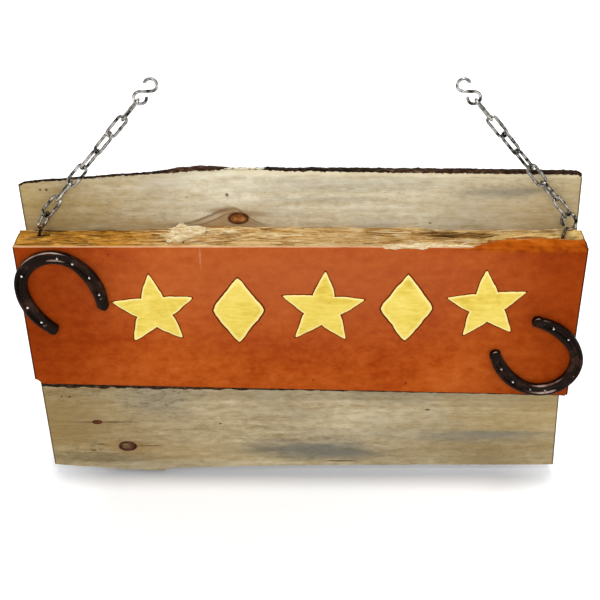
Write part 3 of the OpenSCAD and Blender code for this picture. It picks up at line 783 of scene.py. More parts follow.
# %% Torn outlines
def inside(outline, x, y, soft):
    """1 inside an outline, 0 outside it and smooth over a border, for arrays of points."""
    far = np.full(x.shape, 1e9)
    within = np.zeros(x.shape, bool)
    for (ax, ay), (bx, by) in zip(outline, outline[1:] + outline[:1]):
        dx, dy = bx - ax, by - ay
        share = np.clip(((x - ax) * dx + (y - ay) * dy) / (dx * dx + dy * dy), 0, 1)
        far = np.minimum(far, np.hypot(x - ax - share * dx, y - ay - share * dy))
        if ay != by:
            within ^= ((ay > y) != (by > y)) & (x < dx * (y - ay) / dy + ax)
    return ease(np.where(within, far, -far), -soft, soft)


FLAP = [(-193, -9), (-184, 3), (-176, 11), (-166, 14), (-158, 8), (-150, 11), (-141, 10), (-132, 6),
        (-134, -2), (-146, -7), (-154, -14), (-166, -20), (-181, -27), (-186, -20), (-178, -13)]
POCKET = [(146, 0), (165, 8), (190, 11), (215, 10), (240, 7), (264, 2), (250, -5), (225, -8),
          (195, -9), (168, -6)]
STRIP = [(80, -36), (97, -28), (120, -22), (150, -19), (172, -20), (194, -25), (214, -30), (230, -36)]
BORDER = [(-400, -60), (204, -37), (226, -29), (248, -19), (268, -13), (300, -11), (330, -13), (368, -15)]
print("outlines:", len(FLAP), len(POCKET), len(STRIP), "points, border", len(BORDER))

# %% [markdown]
# The rings give the plain board. Each mask is 1 where its damage is, and together they push the top's
# points up and down. A bevel drops towards the right front corner, the back of the top rises a little,
# and the strip is cut from the front edge.

# %% Board masks
BOARD_ROUND = 1.6  # radius of its edges
BOARD_STEPS = 560  # rings along it
board_low = straight([(BOARD_LEFT + 3, TOP - 215), (BOARD_LEFT + 10, TOP - 222.2),
                      (BOARD_RIGHT + 3, TOP - 242)])
board_left = straight([(TOP - 220, BOARD_LEFT + 1.4), (TOP, BOARD_LEFT - 1.8)])
board_right = straight([(TOP - 240, BOARD_RIGHT + 4), (TOP, BOARD_RIGHT + 2)])


def frayed_low(x):
    return board_low(x) + 0.6 + 0.6 * wander(x, 0.06, 4, 51.0)


section = rounded_section(BOARD_ROUND, 34, 42, arc_steps=4)
rings, normals = board_rings(board_left, board_right, frayed_low, lambda x: TOP - 0.3, FACE, BACK,
                             BOARD_ROUND, BOARD_W, BOARD_STEPS, section)
board_points = rings.reshape(-1, 3)
facing = normals.reshape(-1, 3)
x, y, z = board_points.T.copy()
on_top = ease(facing[:, 2], 0.3, 0.9)
on_front = ease(-facing[:, 1], 0.3, 0.9)
ridges = roughs(board_points, (0.016, 0.16, 0.0), 5, 61.0)
fine = roughs(board_points, (0.04, 0.4, 0.0), 4, 91.0)
chips = roughs(board_points, (0.05, 0.08, 0.08), 4, 71.0)
waves = roughs(board_points, (0.005, 0.02, 0.02), 3, 81.0)
shaken = (x + 7.0 * chips, y + 2.4 * fine)
flap = inside(FLAP, *shaken, 0.7) * on_top
pocket = inside(POCKET, *shaken, 1.5) * on_top
strip = (inside(STRIP, *shaken, 0.9) * ease(z, TOP - 6.0, TOP - 2.0)
         * ease(y, BACK - 10, BACK - 14) * ease(x, 80, 124))
border = np.interp(x, *zip(*BORDER))
over_bevel = ease(border + 3.0 * fine + 2.0 * chips - y, -0.5, 0.5) * ease(x, 206, 218) * on_top
stain = (ease(border + 10 + 4.0 * fine + 4.0 * chips - y, 0.0, 6.0) * ease(x, 205, 245)
         * on_top * (1 - over_bevel))
# The crack along the top's back is cut a little and darkened as painted shade between the board and the
# plank.
back_crack_and_shade = np.exp(-((y - 12.0 - 1.5 * chips) / 2.2) ** 2) * ease(x, -40, 0) * ease(x, 200, 165) * on_top
split = ease(-ridges, 0.2, 0.5) * on_top
print("points on the flap, pocket and strip:", [int((mask > 0.5).sum()) for mask in (flap, pocket, strip)])

# %% Front board
bevel = np.maximum(0.0, 4.0 * ((x - 142.0) / 225.0 - (y - FACE) / 24.0)) * ease(z, TOP - 12, TOP - 1)
peak = 4.6 * np.exp(-((x + 166) / 8.0) ** 2) * ease(y, 0, 12)
away = ease(y, FACE + 1, FACE + 7)
top_push = away * (-1.4 + 2.4 * ridges + 1.2 * fine - 2.0 * split) - 0.3
top_push += (flap * (3.2 + 4.2 * chips + 2.4 * fine + peak - top_push)
             - pocket * (1.2 + 4.0 * np.abs(fine)) - 1.2 * back_crack_and_shade)
rise = 4.6 * ease(x, -240, -110) * ease(x, 208, 130) * ease(y, -10, 10) * on_top
torn_edge = strip * (1.5 + 1.2 * chips) * (1 - ease(bevel, 0.0, 0.6))
board_points[:, 2] += on_top * top_push * (1 - 0.85 * over_bevel) - bevel + rise
board_points[:, 1] += 0.8 * torn_edge * on_front
board_points[:, 2] -= torn_edge
board_points[:, 1] += on_front * (0.18 * waves + 0.2)
front_board = mesh_object("front_board_dressed", board_points, loft(rings)[1], painted_board_finish, 50)
print("front board:", len(board_points), "points")

# %% [markdown]
# The finish reads these numbers: where the board is painted, stained, torn or darkened with painted shade,
# bevelled (where the paint is lighter, as painted light), worn or freshly broken, and where its rims are.
# Both ends are painted all over.

# %% Board values
above = z - np.array([board_low(v) for v in x])
scuff = ease(above, 2.6, 1.4) * on_front * ease(x, -60, -170) * ease(chips, -0.2, 0.2) * 0.5
bare = np.maximum.reduce([on_top * (1 - over_bevel), ease(torn_edge, 0.5, 1.0), ease(y, BACK - 5, BACK - 2)])
bare[:len(section)] = bare[-len(section):] = 0.0
# Painted shade: a dark line along the flap's border; the bevel's border is darkened too.
flap_shade_and_bevel_edge = np.clip(4.0 * flap * (1 - flap) + 4.0 * over_bevel * (1 - over_bevel), 0, 1)
lip = ease(y, FACE + 4.6, FACE + 2.0) * ease(z, TOP - 3.0, TOP - 1.4) * ease(x, 235, 200)
pale_lip = 0.8 * lip * ease(x, 70, 95) * ease(x, 225, 200)
board_values = {
    "paint": 1.0 - bare,
    "stain": stain,
    "torn_and_shade": np.clip(pocket * 0.8 + back_crack_and_shade + 0.6 * split * (1 - flap) + flap_shade_and_bevel_edge, 0, 1),
    "bevel": np.maximum(over_bevel, ease(bevel, 0.3, 1.2)),
    "wear": np.maximum(lip, scuff),
    "fresh": np.maximum.reduce([flap, ease(torn_edge, 0.4, 1.0), 0.8 * strip * on_top, pale_lip]),
    "rim": rim_values(rings, normals, board_left, board_right)}
for name, values in board_values.items():
    set_values(front_board, name, values)
join_frame(front_board, "sign", ["front_board"])
print("board values:", {name: round(float(values.mean()), 2) for name, values in board_values.items()})

# %% [markdown]
# A ragged line of bark is left under the board's front edge: broad on the left, a thread on the right.
# Its darkness is also painted shade, standing in for the shadowed gap under the board.

# %% Foot bark
foot_reach = straight([(-383, 6.6), (-300, 6.4), (-190, 6.0), (-120, 5.0), (-60, 3.8), (60, 2.8), (380, 2.4)])


def foot_ring(along):
    """One ring of the ragged line, from the board's face round its foot to the underside."""
    low = board_low(along)
    reach = max(0.5, foot_reach(along) * (1.0 + 0.45 * wander(along, 0.05, 5, 101.0)))
    front = FACE + 2.2 + 1.1 * wander(along, 0.07, 4, 107.0)
    profile = [(0.4, 1.6), (0.0, -0.2), (0.3, -0.6 * reach), (1.4, -reach), (7.0, -0.9 * reach), (13.0, -0.1),
               (13.0, 1.6)]
    return [(along, front + back, low + up) for back, up in profile]


foot_rings = [foot_ring(along) for along in np.linspace(BOARD_LEFT + 9.0, BOARD_RIGHT + 1.0, BOARD_STEPS)]
# Bark, and painted shade for the gap under the board.
join_frame(mesh_object("foot_bark_and_shade", *loft(foot_rings), bark_crust, 60), "sign")

# %% [markdown]
# ## Yellow painted motifs
# A plain row of hand-painted stars and diamonds decorates the face. Each is a thick film of yellow oil
# paint with a wobbly edge: rings shrink from the outline to the middle and rise to a low dome, which
# catches the light as brushed paint does. A dark under-stroke shows as a thin line round each one.

# %% Motif outlines
def corner_outline(corners, middle, wobble, seed, per_side=14):
    """Points along straight sides between corners, shaken by noise as a brush line is."""
    points = []
    for a, b in zip(corners, corners[1:] + corners[:1]):
        for i in range(per_side):
            share = i / per_side
            p = np.array(a) * (1 - share) + np.array(b) * share
            soft = 1.0 - 0.05 * abs(1 - 2 * share) ** 6
            shake = wobble * rough((p[0], p[1], 0), (0.07, 0.07, 0), 3, seed)
            reach = np.linalg.norm(p)
            points.append(middle + p * (soft + shake / max(reach, 1.0)))
    return np.array(points)


def star(reach, waist, turn):
    return [on_circle(90 + turn + 36 * i, reach if i % 2 == 0 else waist) for i in range(10)]


def diamond(wide, high):
    return [(0, high), (-wide, 0), (0, -high), (wide, 0)]


motifs = [(-206, -312, star(60, 27, 4)), (-92, -311, diamond(36, 54)), (22, -309, star(61, 27, -3)),
          (135, -308, diamond(37, 55)), (243, -304, star(58, 26, 5))]
print("motifs:", len(motifs))

# %% Paint films
# Each ring of a film: its share of the outline and its share of the thickness.
FILM_RINGS = [(1.0, 0.0), (0.975, 0.45), (0.93, 0.75), (0.8, 0.85), (0.5, 0.8), (0.15, 0.85)]
FILM_SEAT = 0.35  # depth of a film's back under the board's face
FILM_SINK = 0.12  # the waves of the face lie a little behind it


def film(outline, middle, thickness, grow):
    """A closed film on the board's face: rings from its edge to near its middle, and a flat back."""
    around = len(outline)
    reach = np.linalg.norm(outline - middle, axis=1)[:, None]
    edge = middle + (outline - middle) * (1 + grow / reach)
    rings = [[(p[0], FACE + FILM_SEAT, p[1]) for p in edge]]
    rim = [np.ones(around)]
    for share, height in FILM_RINGS:
        shrunk = middle + (edge - middle) * share
        rings.append([(q[0], FACE - thickness * height + FILM_SINK, q[1]) for q in shrunk])
        rim.append(np.full(around, ease(share, 0.72, 1.0)))
    points, faces = loft(rings)
    return points, faces, np.concatenate(rim)


def films(name, thickness, grow, finish):
    """All the motifs' films as one piece."""
    points, faces, rims = [], [], []
    for number, (x, z, corners) in enumerate(motifs):
        middle = np.array([x, z])
        outline = corner_outline(corners, middle, 1.5, 5.0 + 3.1 * number)
        p, f, rim = film(outline, middle, thickness, grow)
        start = sum(len(q) for q in points)
        points.append(p)
        faces += [tuple(i + start for i in face) for face in f]
        rims.append(rim)
    piece = mesh_object(name, np.concatenate(points), faces, finish, 60)
    set_values(piece, "rim", np.concatenate(rims))
    join_frame(piece, "sign")

# %% Motif paint
def yellow_paint():
    finish = Finish("yellow_paint", specular=0.06)
    brush = finish.noise(60.0, 20.0, 200.0, 4.0, 0.6, distortion=0.6)
    clouds = finish.noise(26.0, 26.0, 26.0, 3.0)
    colour = finish.ramp(brush * 0.5 + clouds * 0.5, (0.36, (208, 178, 66)), (0.5, (224, 198, 88)),
                         (0.64, (232, 210, 108)))
    colour = finish.mix(finish.value("rim").smooth(0.35, 0.95) * 0.75, colour, (242, 226, 148))
    return finish.done(colour, 0.6, finish.bump(brush, 0.00018))


def stroke_paint():
    finish = Finish("under_stroke", specular=0.02)
    wash = finish.noise(60.0, 60.0, 60.0, 3.0)
    return finish.done(finish.ramp(wash, (0.3, (84, 30, 4)), (0.7, (112, 42, 6))), 0.65)


films("motif_under_strokes", 0.25, 2.1, stroke_paint())
films("motif_films", 0.9, 0.0, yellow_paint())

# %% [markdown]
# ## Horseshoes
# A used horseshoe is a flat iron bar bent to an arch: wide branches, rounded heels, and a groove (the
# crease) in each branch where the nails sit. The section is lofted from heel to heel between an outer
# and an inner edge, each a branch arc that runs smoothly into a toe arc, and the groove fades at the toe.
# The right shoe has the longer branches.

# %% Shoe edges
SHOE_T = 8.0  # thickness of the iron
SHOE_HALF = 58.5  # half the width over the branches, and the radii of the outer edge
TOE_R, SIDE_R = 54.5, 82.0
INNER_HALF = 39.5  # the same of the inner edge
INNER_TOE_R, INNER_SIDE_R = 38.3, 98.0
CREASE_D = 2.6  # depth of the crease, and its middle from the outer edge
CREASE_MID = 8.7
HALF_STEPS = 64


def runs(line):
    """Length of a line of points from its start to each point."""
    return np.concatenate([[0], np.cumsum(np.linalg.norm(np.diff(line, axis=0), axis=1))])


def edge_curve(toe, side, half, low):
    """Points of one half of an edge, from a heel up to the middle of the toe, evenly spaced."""
    rise = math.sqrt((side - toe) ** 2 - (side - half) ** 2)
    meet = math.asin(rise / (side - toe))
    start = math.asin(low / side)
    arcs = [((half - side, 0.0), side, a) for a in np.linspace(start, meet, 200)]
    arcs += [((0.0, rise), toe, a) for a in np.linspace(meet, math.pi / 2, 200)[1:]]
    line = np.array([(c[0] + r * math.cos(a), c[1] + r * math.sin(a)) for c, r, a in arcs])
    run = runs(line)
    even = np.linspace(0, run[-1], HALF_STEPS)
    return np.stack([np.interp(even, run, line[:, 0]), np.interp(even, run, line[:, 1])], axis=1)


def shoe_profile(width, groove):
    """Closed section of the bar: (distance from the outer edge, height above the board)."""
    base, outer, inner = 0.7, 2.6, 4.4
    scale = min(1.0, width / 15.0)
    crease_scale = min(1.0, width / 18.0)
    points = [(base * scale, 0.0), (width - base * scale, 0.0), (width, base)]
    for a in range(0, 91, 18):
        c, s = on_circle(a)
        points.append((width - inner * scale * (1 - c), SHOE_T - inner * 0.8 * (1 - s)))
    for place, depth in ((13.2, 0.0), (12.5, 0.25), (11.7, 0.8), (10.8, 1.0),
                         (6.8, 1.0), (5.9, 0.8), (5.2, 0.25), (4.6, 0.0)):
        points.append((place * crease_scale, SHOE_T - groove * depth))
    for a in range(90, -1, -18):
        c, s = on_circle(a)
        points.append((outer * scale * (1 - c), SHOE_T - outer * (1 - s)))
    points.append((0.0, base))
    return points


print("shoe section:", len(shoe_profile(SHOE_HALF - INNER_HALF, CREASE_D)), "points")

# %% Shoe rings
def shoe_stations(heel_drop):
    """Outer point, inner point and depth of the groove, from the rounded left heel to the right one."""
    outer_half = edge_curve(TOE_R, SIDE_R, SHOE_HALF, -heel_drop)
    inner_half = edge_curve(INNER_TOE_R, INNER_SIDE_R, INNER_HALF, -heel_drop)
    outer_x, inner_x = outer_half[0][0], inner_half[0][0]
    heel_x, heel_r = (outer_x + inner_x) / 2, (outer_x - inner_x) / 2
    half = []
    for a in range(84, 11, -12):
        c, s = on_circle(a)
        low = -heel_drop - heel_r * s
        half.append(((heel_x + heel_r * c, low), (heel_x - heel_r * c, low), 0.0))
    run = runs(outer_half)
    for o, i, d in zip(outer_half, inner_half, run):
        groove = CREASE_D * float(ease(d, 8, 14)) * float(ease(run[-1] - d, 12, 20))
        half.append((tuple(o), tuple(i), groove))
    left = [((-o[0], o[1]), (-i[0], i[1]), g) for o, i, g in half]
    return left + half[-2::-1]


def shoe_rings(heel_drop, seed):
    """Rings of a whole shoe in its own plane, a little dented."""
    rings = []
    for o, i, groove in shoe_stations(heel_drop):
        o, i = np.array(o), np.array(i)
        width = float(np.linalg.norm(i - o))
        across = (i - o) / width
        ring = []
        for s, h in shoe_profile(width, groove):
            p = o + across * (0.08 + s * (width - 0.16) / width)
            dent = 0.22 * rough((p[0], p[1], h), (0.09, 0.09, 0.2), 3, seed) if h > 1 else 0.0
            ring.append((p[0], p[1], h + dent - 0.35 * (h > 1)))
        rings.append(ring)
    return rings

# %% [markdown]
# Each shoe is turned and set on the board's face. Nails go only where there is wood behind the iron, so
# a hole that hangs over the board's edge stays empty. No hole is cut in the iron: its shade is painted as a
# dark dot.

# %% Shoe places
# Each shoe: its middle on the face, the angle it is turned by, and how far its heels lie below.
SHOES = {"left": ((-327.5, TOP - 73.0), 28.0, 37.5), "right": ((319.0, TOP - 173.0), -134.0, 43.0)}
NAIL_MARGIN = 5  # wood that a nail needs round it


def nail_stations():
    """Nail places of a shoe in its own plane: one on the toe arc and three down each branch."""
    rise = math.sqrt((SIDE_R - TOE_R) ** 2 - (SIDE_R - SHOE_HALF) ** 2)
    c, s = on_circle(52, TOE_R - CREASE_MID)
    half = [(c, rise + s, 0.0)]
    for a in (28, 5, -17):
        c, s = on_circle(a, SIDE_R - CREASE_MID)
        half.append((SHOE_HALF - SIDE_R + c, s, 0.0))
    return [(-p[0], p[1], 0.0) for p in half] + half


def on_face(points, at, angle):
    """Turns points of a shoe's plane by an angle, on to the board's face."""
    c, s = on_circle(angle)
    across, up, out = np.asarray(points, dtype=float).reshape(-1, 3).T
    return np.stack([at[0] + c * across - s * up, FACE - out, at[1] + s * across + c * up], axis=1)


def over_board(p):
    beside = board_left(p[2]) + NAIL_MARGIN < p[0] < board_right(p[2]) - NAIL_MARGIN
    return beside and board_low(p[0]) + NAIL_MARGIN < p[2] < TOP - NAIL_MARGIN


nail_spots = {side: on_face(nail_stations(), at, angle) for side, (at, angle, drop) in SHOES.items()}
print("nail places:", {side: sum(over_board(p) for p in spots) for side, spots in nail_spots.items()})

# %% Shoe iron
# Painted highlight: edges whose normals face this way are made pale on the iron.
HIGHLIGHT_SIDE = np.array([-0.187, -0.641, 0.743])  # up, forward and a little left, where edges shine


def shoe_iron():
    finish = Finish("shoe_iron", specular=0.07)
    feed(finish.tree, finish.shader.inputs["Specular Tint"], (255, 226, 206))
    scale = finish.noise(60.0, 60.0, 60.0, 4.0, 0.6)
    wear = finish.noise(22.0, 22.0, 22.0, 3.0)
    colour = finish.ramp(scale * 0.5 + wear * 0.5, (0.36, (6, 2, 1)), (0.52, (22, 11, 7)),
                         (0.66, (62, 38, 27)))
    # The rubbed value is a painted highlight: pale iron on the edges that face the lamps.
    rubbed = finish.value("rubbed") + (scale - 0.5) * 0.5
    bright = finish.ramp(wear, (0.4, (104, 72, 58)), (0.6, (204, 178, 164)))
    colour = finish.mix(rubbed.smooth(0.3, 1.1) * 0.9, colour, bright)
    # Painted shade: each empty nail hole is a nearly black dot, as the hole itself is not cut.
    for spots in nail_spots.values():
        for p in spots:
            if not over_board(p):
                colour = finish.mix(finish.spot(p[0], p[2], 1.9, 1.9, 0.3), colour, (2, 1, 0))
    pits = finish.noise(260.0, 260.0, 260.0, 3.0)
    relief = finish.bump(scale, 0.0009)
    relief = finish.bump(pits, 0.0002, relief)
    return finish.done(colour, (scale - 0.5) * 0.3 + 0.24, relief)


iron = shoe_iron()
for side, seed in (("left", 3.0), ("right", 8.0)):
    at, angle, heel_drop = SHOES[side]
    rings = shoe_rings(heel_drop, seed)
    shoe = mesh_object(f"{side}_shoe", on_face(rings, at, angle), loft(rings)[1], iron, 50)
    # Painted highlight: points whose normals face up, forward and a little left are marked rubbed.
    facing = np.array([v.normal for v in shoe.data.vertices]) @ HIGHLIGHT_SIDE
    set_values(shoe, "rubbed", ease(facing, 0.78, 1.0))
    join_frame(shoe, "sign", [f"{side}_horseshoe"])

# %% [markdown]
# ## Geometry Nodes for what repeats
# Splinters, links and nail heads are the same form over and over. A node tree holds the form once, with
# its sizes as named inputs, and each object only sets those inputs. A helper reads the result back as a
# plain mesh, because the export doesn't keep instances or live modifiers.

# %% Tree helpers
NUMBER = "NodeSocketFloat"
WHOLE = "NodeSocketInt"
TURN = "NodeSocketRotation"
PLACE = "NodeSocketVector"
FINISH = "NodeSocketMaterial"


def new_tree(name, inputs):
    """A geometry tree with named inputs and a finish; returns the tree and its inputs by name."""
    tree = bpy.data.node_groups.new(name, "GeometryNodeTree")
    tree.interface.new_socket("Geometry", in_out="INPUT", socket_type="NodeSocketGeometry")
    for label, kind, value in inputs + [("Material", FINISH, None)]:
        socket = tree.interface.new_socket(label, in_out="INPUT", socket_type=kind)
        if value is not None:
            socket.default_value = value
    tree.interface.new_socket("Geometry", in_out="OUTPUT", socket_type="NodeSocketGeometry")
    return tree, {socket.name: socket for socket in tree.nodes.new("NodeGroupInput").outputs}


def step(tree, kind, inputs, **settings):
    """Adds one node, sets its choices and feeds its inputs by name or place; returns its output."""
    made = tree.nodes.new(kind)
    for key, value in settings.items():
        setattr(made, key, value)
    for key, value in inputs.items():
        feed(tree, made.inputs[key], value)
    return next(out for out in made.outputs if out.enabled)


def end_tree(tree, need, geometry):
    """Ends a tree as the export needs it: real geometry with its material."""
    real = step(tree, "GeometryNodeRealizeInstances", {"Geometry": geometry})
    dress = step(tree, "GeometryNodeSetMaterial", {"Geometry": real, "Material": need["Material"]})
    tree.links.new(dress, tree.nodes.new("NodeGroupOutput").inputs[0])
    return tree


def blank(name, points=()):
    """An object that holds only points in millimetres, for a tree to work on."""
    mesh = bpy.data.meshes.new(name)
    mesh.from_pydata([tuple(float(v) * MM for v in p) for p in points], [], [])
    return add_object(name, mesh)


def run_tree(piece, tree, values):
    """Sets a tree's inputs by their identifiers, evaluates it, and keeps the result as a plain mesh."""
    modifier = piece.modifiers.new("build", "NODES")
    modifier.node_group = tree
    for item in tree.interface.items_tree:
        if item.item_type == "SOCKET" and item.in_out == "INPUT" and item.name in values:
            modifier[item.identifier] = values[item.name]
    depsgraph = bpy.context.evaluated_depsgraph_get()
    built = bpy.data.meshes.new_from_object(piece.evaluated_get(depsgraph))
    piece.modifiers.remove(modifier)
    piece.data = built
    built.name = piece.name
    return piece

# %% [markdown]
# ## Splinters
# Broken fibres lie all over the raw top. The tree holds one tapered sliver and sets it on points that
# know their own length, thickness, direction, lift and tint.

# %% Splinter tree
def splinter_tree():
    tree, need = new_tree("splinters", [("Flatness", NUMBER, 0.5)])
    def kept(label):
        return Field(tree, step(tree, "GeometryNodeInputNamedAttribute", {"Name": label}, data_type="FLOAT"))
    sliver = step(tree, "GeometryNodeMeshCone",
                  {"Vertices": 5, "Radius Top": 0.1, "Radius Bottom": 0.5, "Depth": 1.0})
    thin = kept("thick") * Field(tree, need["Flatness"])
    size = step(tree, "ShaderNodeCombineXYZ", {0: thin, 1: kept("thick"), 2: kept("long")})
    aim = step(tree, "ShaderNodeCombineXYZ", {1: kept("tilt"), 2: kept("yaw")})
    put = step(tree, "GeometryNodeInstanceOnPoints",
               {"Points": need["Geometry"], "Instance": sliver, "Rotation": aim, "Scale": size})
    return end_tree(tree, need, put)


def splinter_finish():
    finish = Finish("splinter_wood", specular=0.04)
    fibre = finish.noise(40.0, 500.0, 500.0, 3.0, 0.6)
    tint = finish.value("tint") + (fibre - 0.5) * 0.35
    colour = finish.ramp(tint, (0.0, (66, 42, 20)), (0.3, (150, 104, 44)), (0.6, (202, 160, 92)),
                         (1.0, (240, 226, 188)))
    return finish.done(colour, 0.8, finish.bump(fibre, 0.0008))


sliver_tree = splinter_tree()
sliver_wood = splinter_finish()
print("splinter tree:", len(sliver_tree.nodes), "nodes")

# %% [markdown]
# The points are drawn with fixed seeds, and each set keeps to its own part of the top: golden on the raw
# wood, thicker along its back, pale on the flap and the torn strip, dark in the pocket. A sliver is cut
# short where it would reach past the board's end.

# %% Splinter sets
END_ROOM = 2.0  # kept free at the board's ends


def scatter(name, seed, count, weight, long, thick, yaw, lift, tint):
    """One set of slivers: ranges of length and thickness in millimetres, of angles in degrees and of tint."""
    rng = np.random.default_rng(seed)
    picked = rng.choice(len(board_points), count, p=weight / weight.sum())
    at = board_points[picked] + rng.uniform(-0.6, 0.6, (count, 3)) * np.array([1.0, 1.0, 0.3])
    turned = rng.choice([0.0, math.pi], count)
    room = np.where(turned > 0, at[:, 0] - BOARD_LEFT, BOARD_RIGHT - at[:, 0]) - END_ROOM
    points = blank(name, at)
    set_values(points, "long", np.minimum(rng.uniform(*long, count), room) * MM)
    set_values(points, "thick", rng.uniform(*thick, count) * MM)
    set_values(points, "yaw", np.radians(rng.uniform(-yaw, yaw, count)) + turned)
    set_values(points, "tilt", math.pi / 2 - np.radians(rng.uniform(*lift, count)))
    set_values(points, "tint", rng.uniform(*tint, count) - 0.25 * ease(-at[:, 0], 120, 260))
    splinters = run_tree(points, sliver_tree, {"Material": sliver_wood})
    join_frame(splinters, "sign")


raw_top = (on_top * (1 - over_bevel) * ease(y, FACE + 4, FACE + 9)
           * ease(-x, -362, -350) * ease(x, -380, -372))
scatter("golden_splinters", 11, 420, raw_top * (1 - flap) * (1 - pocket) * (1 - 0.9 * strip),
        long=(8, 42), thick=(0.8, 2.4), yaw=7, lift=(0, 2.5), tint=(0.2, 0.8))
scatter("back_splinters", 12, 120, raw_top * ease(y, BACK - 6, BACK - 2) * (1 - flap),
        long=(10, 40), thick=(1.2, 3.2), yaw=4, lift=(0, 3), tint=(0.3, 0.95))
scatter("pale_splinters", 13, 140, np.maximum(flap, strip * on_top),
        long=(6, 22), thick=(0.8, 2.4), yaw=22, lift=(0, 9), tint=(0.8, 1.0))
scatter("dark_splinters", 14, 110, pocket,
        long=(8, 40), thick=(0.6, 1.8), yaw=14, lift=(-2, 5), tint=(0.0, 0.45))

# %% [markdown]
# ## Zinc wire
# The chain, eyes and hooks are zinc-plated wire that has gone dull: bright where it is rubbed, grey in
# the folds. Metal shows what surrounds it, so its own colour stays dark and patchy.

# %% Zinc finish
def zinc(name, dark, bright):
    finish = Finish(name, metallic=1.0)
    spangle = finish.noise(150.0, 150.0, 150.0, 4.0, 0.6)
    rubbed = finish.noise(60.0, 60.0, 60.0, 3.0)
    colour = finish.ramp(spangle * 0.6 + rubbed * 0.4, (0.42, dark), (0.62, bright))
    return finish.done(colour, (rubbed - 0.5) * 0.3 + 0.27, finish.bump(spangle, 0.0003))


link_zinc = zinc("link_zinc", (26, 23, 19), (204, 200, 190))
eye_zinc = zinc("eye_zinc", (28, 24, 19), (212, 205, 190))
hook_zinc = zinc("hook_zinc", (40, 37, 32), (214, 211, 204))
print("zinc finishes:", link_zinc.name, eye_zinc.name, hook_zinc.name)

# %% [markdown]
# ## Chain links
# A link is one length of wire bent to a long loop and welded shut in the middle of a straight side. The
# tree sweeps a round section along a rectangle with fully rounded corners, then swells the wire at the
# weld. Each link is turned about the chain's line by the angle that the solids have.

# %% Link tree
def link_tree():
    tree, need = new_tree("chain_link", [
        ("Wire", NUMBER, 0.004), ("Clear width", NUMBER, 0.008), ("Inner length", NUMBER, 0.0297),
        ("Weld swell", NUMBER, 0.0004), ("Turn", TURN, None), ("Lean", TURN, None), ("Place", PLACE, None)])
    wire = Field(tree, need["Wire"])
    wide = Field(tree, need["Clear width"]) + wire
    tall = Field(tree, need["Inner length"]) + wire
    loop = step(tree, "GeometryNodeCurvePrimitiveQuadrilateral", {"Width": wide, "Height": tall})
    bend = step(tree, "GeometryNodeFilletCurve", {"Curve": loop, "Count": 12, "Radius": wide * 0.4999},
                mode="POLY")
    even = step(tree, "GeometryNodeResampleCurve", {"Curve": bend, "Length": 0.0011}, mode="LENGTH")
    ring = step(tree, "GeometryNodeCurvePrimitiveCircle", {"Resolution": 16, "Radius": wire * 0.5},
                mode="RADIUS")
    sweep = step(tree, "GeometryNodeCurveToMesh", {"Curve": even, "Profile Curve": ring})
    place = step(tree, "ShaderNodeSeparateXYZ", {0: step(tree, "GeometryNodeInputPosition", {})})
    x, y = (Field(tree, out) for out in place.node.outputs[:2])
    near = (y * y * -180000.0).math("EXPONENT") * x.math("GREATER_THAN", 0.0)
    grow = near * Field(tree, need["Weld swell"])
    facing = step(tree, "GeometryNodeInputNormal", {})
    push = step(tree, "ShaderNodeVectorMath", {0: facing, "Scale": grow}, operation="SCALE")
    swell = step(tree, "GeometryNodeSetPosition", {"Geometry": sweep, "Offset": push})
    stand = step(tree, "GeometryNodeTransform", {"Geometry": swell, "Rotation": need["Turn"]})
    hang = step(tree, "GeometryNodeTransform",
                {"Geometry": stand, "Rotation": need["Lean"], "Translation": need["Place"]})
    return end_tree(tree, need, step(tree, "GeometryNodeSetShadeSmooth", {"Geometry": hang}))


chain_tree = link_tree()
print("link tree:", len(chain_tree.nodes), "nodes")

# %% Chains
CHAIN_LEAN = math.radians(40.3)  # from upright
HOOK_X = 189.041  # where the chain's line, drawn up to the frame's zero height, lies from the middle
FIRST_RUN = 33.7817  # along that line to where the first link begins
LINK_PITCH = 29.4
LINK_TURNS = {"left": [90, 18, -54, 54, -18, 90, -10], "right": [90, -18, 54, -54, 18, -60, 48]}
for side, sign in (("left", -1), ("right", 1)):
    for number, turn in enumerate(LINK_TURNS[side], 1):
        run = FIRST_RUN + (number - 0.5) * LINK_PITCH
        at = (sign * (HOOK_X + run * math.sin(CHAIN_LEAN)) * MM, 0.0, -run * math.cos(CHAIN_LEAN) * MM)
        link = run_tree(blank(f"{side}_chain_link_{number}"), chain_tree, {
            "Turn": (math.pi / 2, 0.0, math.radians(turn)), "Lean": (0.0, -sign * CHAIN_LEAN, 0.0),
            "Place": at, "Material": link_zinc})
        join_frame(link, f"{side}_link_{number}", [f"{side}_link_{number}"])

# %% [markdown]
# ## Horseshoe nails
# The nails' heads are small blunt wedges that sink into the crease. They are instances of one tapered
# block on the nail places, each rolled a little by a seeded random turn, and their shanks are hidden.

